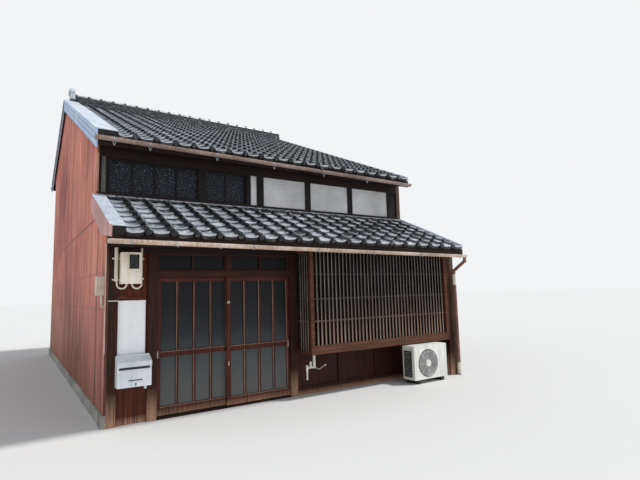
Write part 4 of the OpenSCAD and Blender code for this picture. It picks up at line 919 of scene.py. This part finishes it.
# %% Door leaves: painted highlights on the edges, pulls and lock
LEAF_W, STILE, BAR_W, COLUMNS = 1.034, 0.050, 0.024, 4
ROWS = ((0.141, 0.797), (0.859, 1.799))
CELL = (LEAF_W - 2 * STILE - (COLUMNS - 1) * BAR_W) / COLUMNS
LIT_STRIP = 0.008
BEAD = 0.009

for leaf, left, front_y in (("left_leaf", 0.648, 0.071), ("right_leaf", 1.632, 0.026)):
    edges, beads = bmesh.new(), bmesh.new()
    proud, sunk = front_y - 0.001, front_y + 0.004
    bead_face, bead_back = front_y + 0.003, front_y + 0.0135
    for foot, head in ROWS:
        # These strips are painted highlight on the lit edges of the rails and bars.
        block(edges, at(left + STILE, proud, foot - LIT_STRIP), at(left + LEAF_W - STILE, sunk, foot + 0.001), 0)
        for column in range(COLUMNS):
            x = left + STILE + column * (CELL + BAR_W)
            block(edges, at(x + CELL - 0.001, proud, foot), at(x + CELL + LIT_STRIP, sunk, head), 0)
            for start in (x, x + CELL - BEAD):
                block(beads, at(start, bead_face, foot), at(start + BEAD, bead_back, head), 0.001)
            for start in (foot, head - BEAD):
                block(beads, at(x, bead_face, start), at(x + CELL, bead_back, start + BEAD), 0.001)
    piece(leaf + "_edges", edges, lit_edge_wood, "red_timber", leaf)
    piece(leaf + "_beads", beads, door_wood, "red_timber", leaf)

pulls = bmesh.new()
block(pulls, at(0.652, 0.068, 0.775), at(0.676, 0.072, 0.870))
piece("left_leaf_pull", pulls, brass, "zinc", "left_leaf")

pulls = bmesh.new()
block(pulls, at(2.632, 0.023, 0.765), at(2.656, 0.027, 0.860))
bar(pulls, at(1.655, 0.030, 1.485), at(1.655, 0.019, 1.485), 0.022, 24)
block(pulls, at(1.645, 0.020, 0.580), at(1.665, 0.027, 0.640), 0.003)
piece("right_leaf_pull", pulls, brass, "zinc", "right_leaf")

# %% [markdown]
# The bay's lattice is old cedar. The edge of each bar that meets the light carries a pale strip of painted
# highlight, while the faces between the bars carry black strips of painted shade, so the lattice reads as
# fine pale lines from a few steps away. Thin strips on the bars show both, in front and on the bay's left.

# %% Lattice: painted highlights on the edges and painted shade between the bars
FIRST_BAR, BARS, BAR_PITCH = 2.9302, 39, 0.07325
BAR_FACE, BAR_BACK, BAR_FOOT, BAR_HEAD = -0.386, -0.3565, 0.7855, 2.219
FIRST_SIDE_BAR, SIDE_BARS, SIDE_PITCH = -0.2858, 4, 0.0682
SIDE_FACE, SIDE_BACK, SIDE_FOOT = 2.825, 2.8545, 0.6925
PROUD, SHADE_PROUD = 0.0008, 0.0006

# The pale strips are painted highlight, the black ones painted shade.
pale, shaded_faces = bmesh.new(), bmesh.new()
for number in range(BARS):
    x = FIRST_BAR + number * BAR_PITCH
    turn_in = BAR_FACE + 0.003
    block(pale, at(x - PROUD, BAR_FACE - PROUD, BAR_FOOT), at(x + 0.0075, turn_in, BAR_HEAD), 0)
    block(shaded_faces, at(x - SHADE_PROUD, turn_in, BAR_FOOT), at(x + 0.001, BAR_BACK, BAR_HEAD), 0)
for number in range(SIDE_BARS):
    y = FIRST_SIDE_BAR + number * SIDE_PITCH
    turn_in = SIDE_FACE + 0.002
    block(pale, at(SIDE_FACE - PROUD, y - PROUD, SIDE_FOOT), at(turn_in, y + 0.014, BAR_HEAD), 0)
    block(shaded_faces, at(turn_in, y - SHADE_PROUD, SIDE_FOOT), at(SIDE_BACK, y + 0.001, BAR_HEAD), 0)
piece("lattice_edges", pale, lit_bar_cedar, "timber")
piece("lattice_painted_shade", shaded_faces, shaded_upright, "dark_timber")

# %% [markdown]
# Under the bay a water pipe comes down to a tap: thick unions in cream, a thin riser, and a spout with
# its handle in worn nickel.

# %% Tap and unions
unions = bmesh.new()
bar(unions, at(2.970, -0.200, 0.425), at(2.970, -0.200, 0.640), 0.022)
bar(unions, at(2.905, -0.200, 0.442), at(2.905, -0.200, 0.530), 0.018)
bar(unions, at(2.840, -0.200, 0.400), at(2.840, -0.200, 0.480), 0.019)
piece("tap_unions", unions, conduit_cream, "cream_plastic")

spout = bmesh.new()
bar(spout, at(2.970, -0.200, 0.442), at(3.060, -0.200, 0.400), 0.009, 16)
bar(spout, at(3.060, -0.200, 0.400), at(3.160, -0.200, 0.450), 0.010, 16)
bar(spout, at(3.152, -0.200, 0.446), at(3.185, -0.200, 0.462), 0.020)
piece("tap_spout", spout, brass, "zinc")

# %% [markdown]
# The cooling unit breathes through a round opening in its front and slots in its side. Behind the guard
# of fine wire rings a fan stands in a dark well. Dark fins fill the slots, and dirt lies on the webs
# between them.

# %% Fan and fins
FAN_X, FAN_Z = 5.042, 0.330
SLOTS, SLOT_FOOT, SLOT_PITCH = 14, 0.113, 0.034
FINS, FIN_PITCH = 40, 0.0048

well = bmesh.new()
bar(well, at(FAN_X, -0.5585, FAN_Z), at(FAN_X, -0.5570, FAN_Z), 0.233, 64)
for number in range(SLOTS):
    foot = SLOT_FOOT + SLOT_PITCH * number
    block(well, at(4.7305, -0.555, foot), at(4.7325, -0.362, foot + 0.023), 0)
    block(well, at(4.7112, -0.556, foot + 0.0255), at(4.7125, -0.361, foot + 0.0315), 0)
for number in range(FINS):
    y = -0.553 + number * FIN_PITCH
    block(well, at(4.7145, y, SLOT_FOOT), at(4.7300, y + 0.0012, 0.575), 0)
piece("fan_well", well, black_plastic, "dark_plastic")

# %% [markdown]
# The blades are one shape, kept as a mesh, and each copy is turned as soon as it is stamped.

# %% Blades, guard, hub and feet
BLADES, PITCHED, FIRST_TURN = 3, 24, 20

blade = bmesh.new()
block(blade, (0.04, -0.004, -0.055), (0.205, 0.004, 0.055), 0.003)
blade_mesh = kept(blade, "one blade")
fan = bmesh.new()
for number in range(BLADES):
    turn = Matrix.Rotation(math.radians(360 // BLADES * number + FIRST_TURN), 4, "Y") \
        @ Matrix.Rotation(math.radians(PITCHED), 4, "X")
    bmesh.ops.transform(fan, matrix=Matrix.Translation(at(FAN_X, -0.590, FAN_Z)) @ turn,
                        verts=stamp(fan, blade_mesh))
bpy.data.meshes.remove(blade_mesh)
piece("fan_blades", fan, black_plastic, "dark_plastic")

INNER_RING, OUTER_RING, RING_PITCH, WIRE_R = 0.060, 0.228, 0.012, 0.0022
rings = bmesh.new()
radius = INNER_RING
while radius < OUTER_RING:
    wire = bmesh.ops.create_circle(rings, segments=6, radius=WIRE_R,
                                   matrix=Matrix.Translation((radius, 0, 0)))["verts"]
    loop = list({edge for vert in wire for edge in vert.link_edges})
    bmesh.ops.spin(rings, geom=wire + loop, cent=(0, 0, 0), axis=(0, 1, 0), angle=math.tau, steps=48)
    radius += RING_PITCH
bmesh.ops.remove_doubles(rings, verts=rings.verts[:], dist=0.0002)
bmesh.ops.translate(rings, vec=at(FAN_X, -0.6185, FAN_Z), verts=rings.verts[:])
bmesh.ops.recalc_face_normals(rings, faces=rings.faces[:])
piece("guard_rings", rings, guard_grey, "dark_plastic")

hub = bmesh.new()
bar(hub, at(FAN_X, -0.621, FAN_Z), at(FAN_X, -0.6245, FAN_Z), 0.058, 32)
block(hub, at(4.712, -0.6175, 0.600), at(5.504, -0.6150, 0.606), 0.001)
block(hub, at(5.320, -0.6195, 0.090), at(5.324, -0.6155, 0.610), 0.001)
piece("fan_hub", hub, cooler_white, "white_enamel")

feet = bmesh.new()
for x in (4.792, 5.364):
    block(feet, at(x - 0.004, -0.607, 0.0), at(x + 0.064, -0.345, 0.066), 0.004)
piece("cooler_feet", feet, black_plastic, "dark_plastic")

# %% [markdown]
# The downpipe has a cream length near its top and a pale sleeve at its foot.

# %% Downpipe sleeves
sleeves = bmesh.new()
bar(sleeves, at(6.024, -0.451, 1.66), at(6.024, -0.451, 1.86), 0.0325, 24)
bar(sleeves, at(6.024, -0.451, 0.02), at(6.024, -0.451, 0.22), 0.0335, 24)
piece("pipe_sleeves", sleeves, conduit_cream, "cream_plastic")

# %% [markdown]
# The floor is a plain pale plane far larger than the house and no part of it.

# %% Floor
ground = bmesh.new()
bmesh.ops.create_grid(ground, x_segments=1, y_segments=1, size=150.0)
floor_mesh = kept(ground, "floor")
floor = bpy.data.objects.new("floor", floor_mesh)
floor.location.z = -0.001
scene.collection.objects.link(floor)
floor_mesh.materials.append(finish("pale floor", 0.9, "c9c7c4", Specular_IOR_Level=0.2)[0])
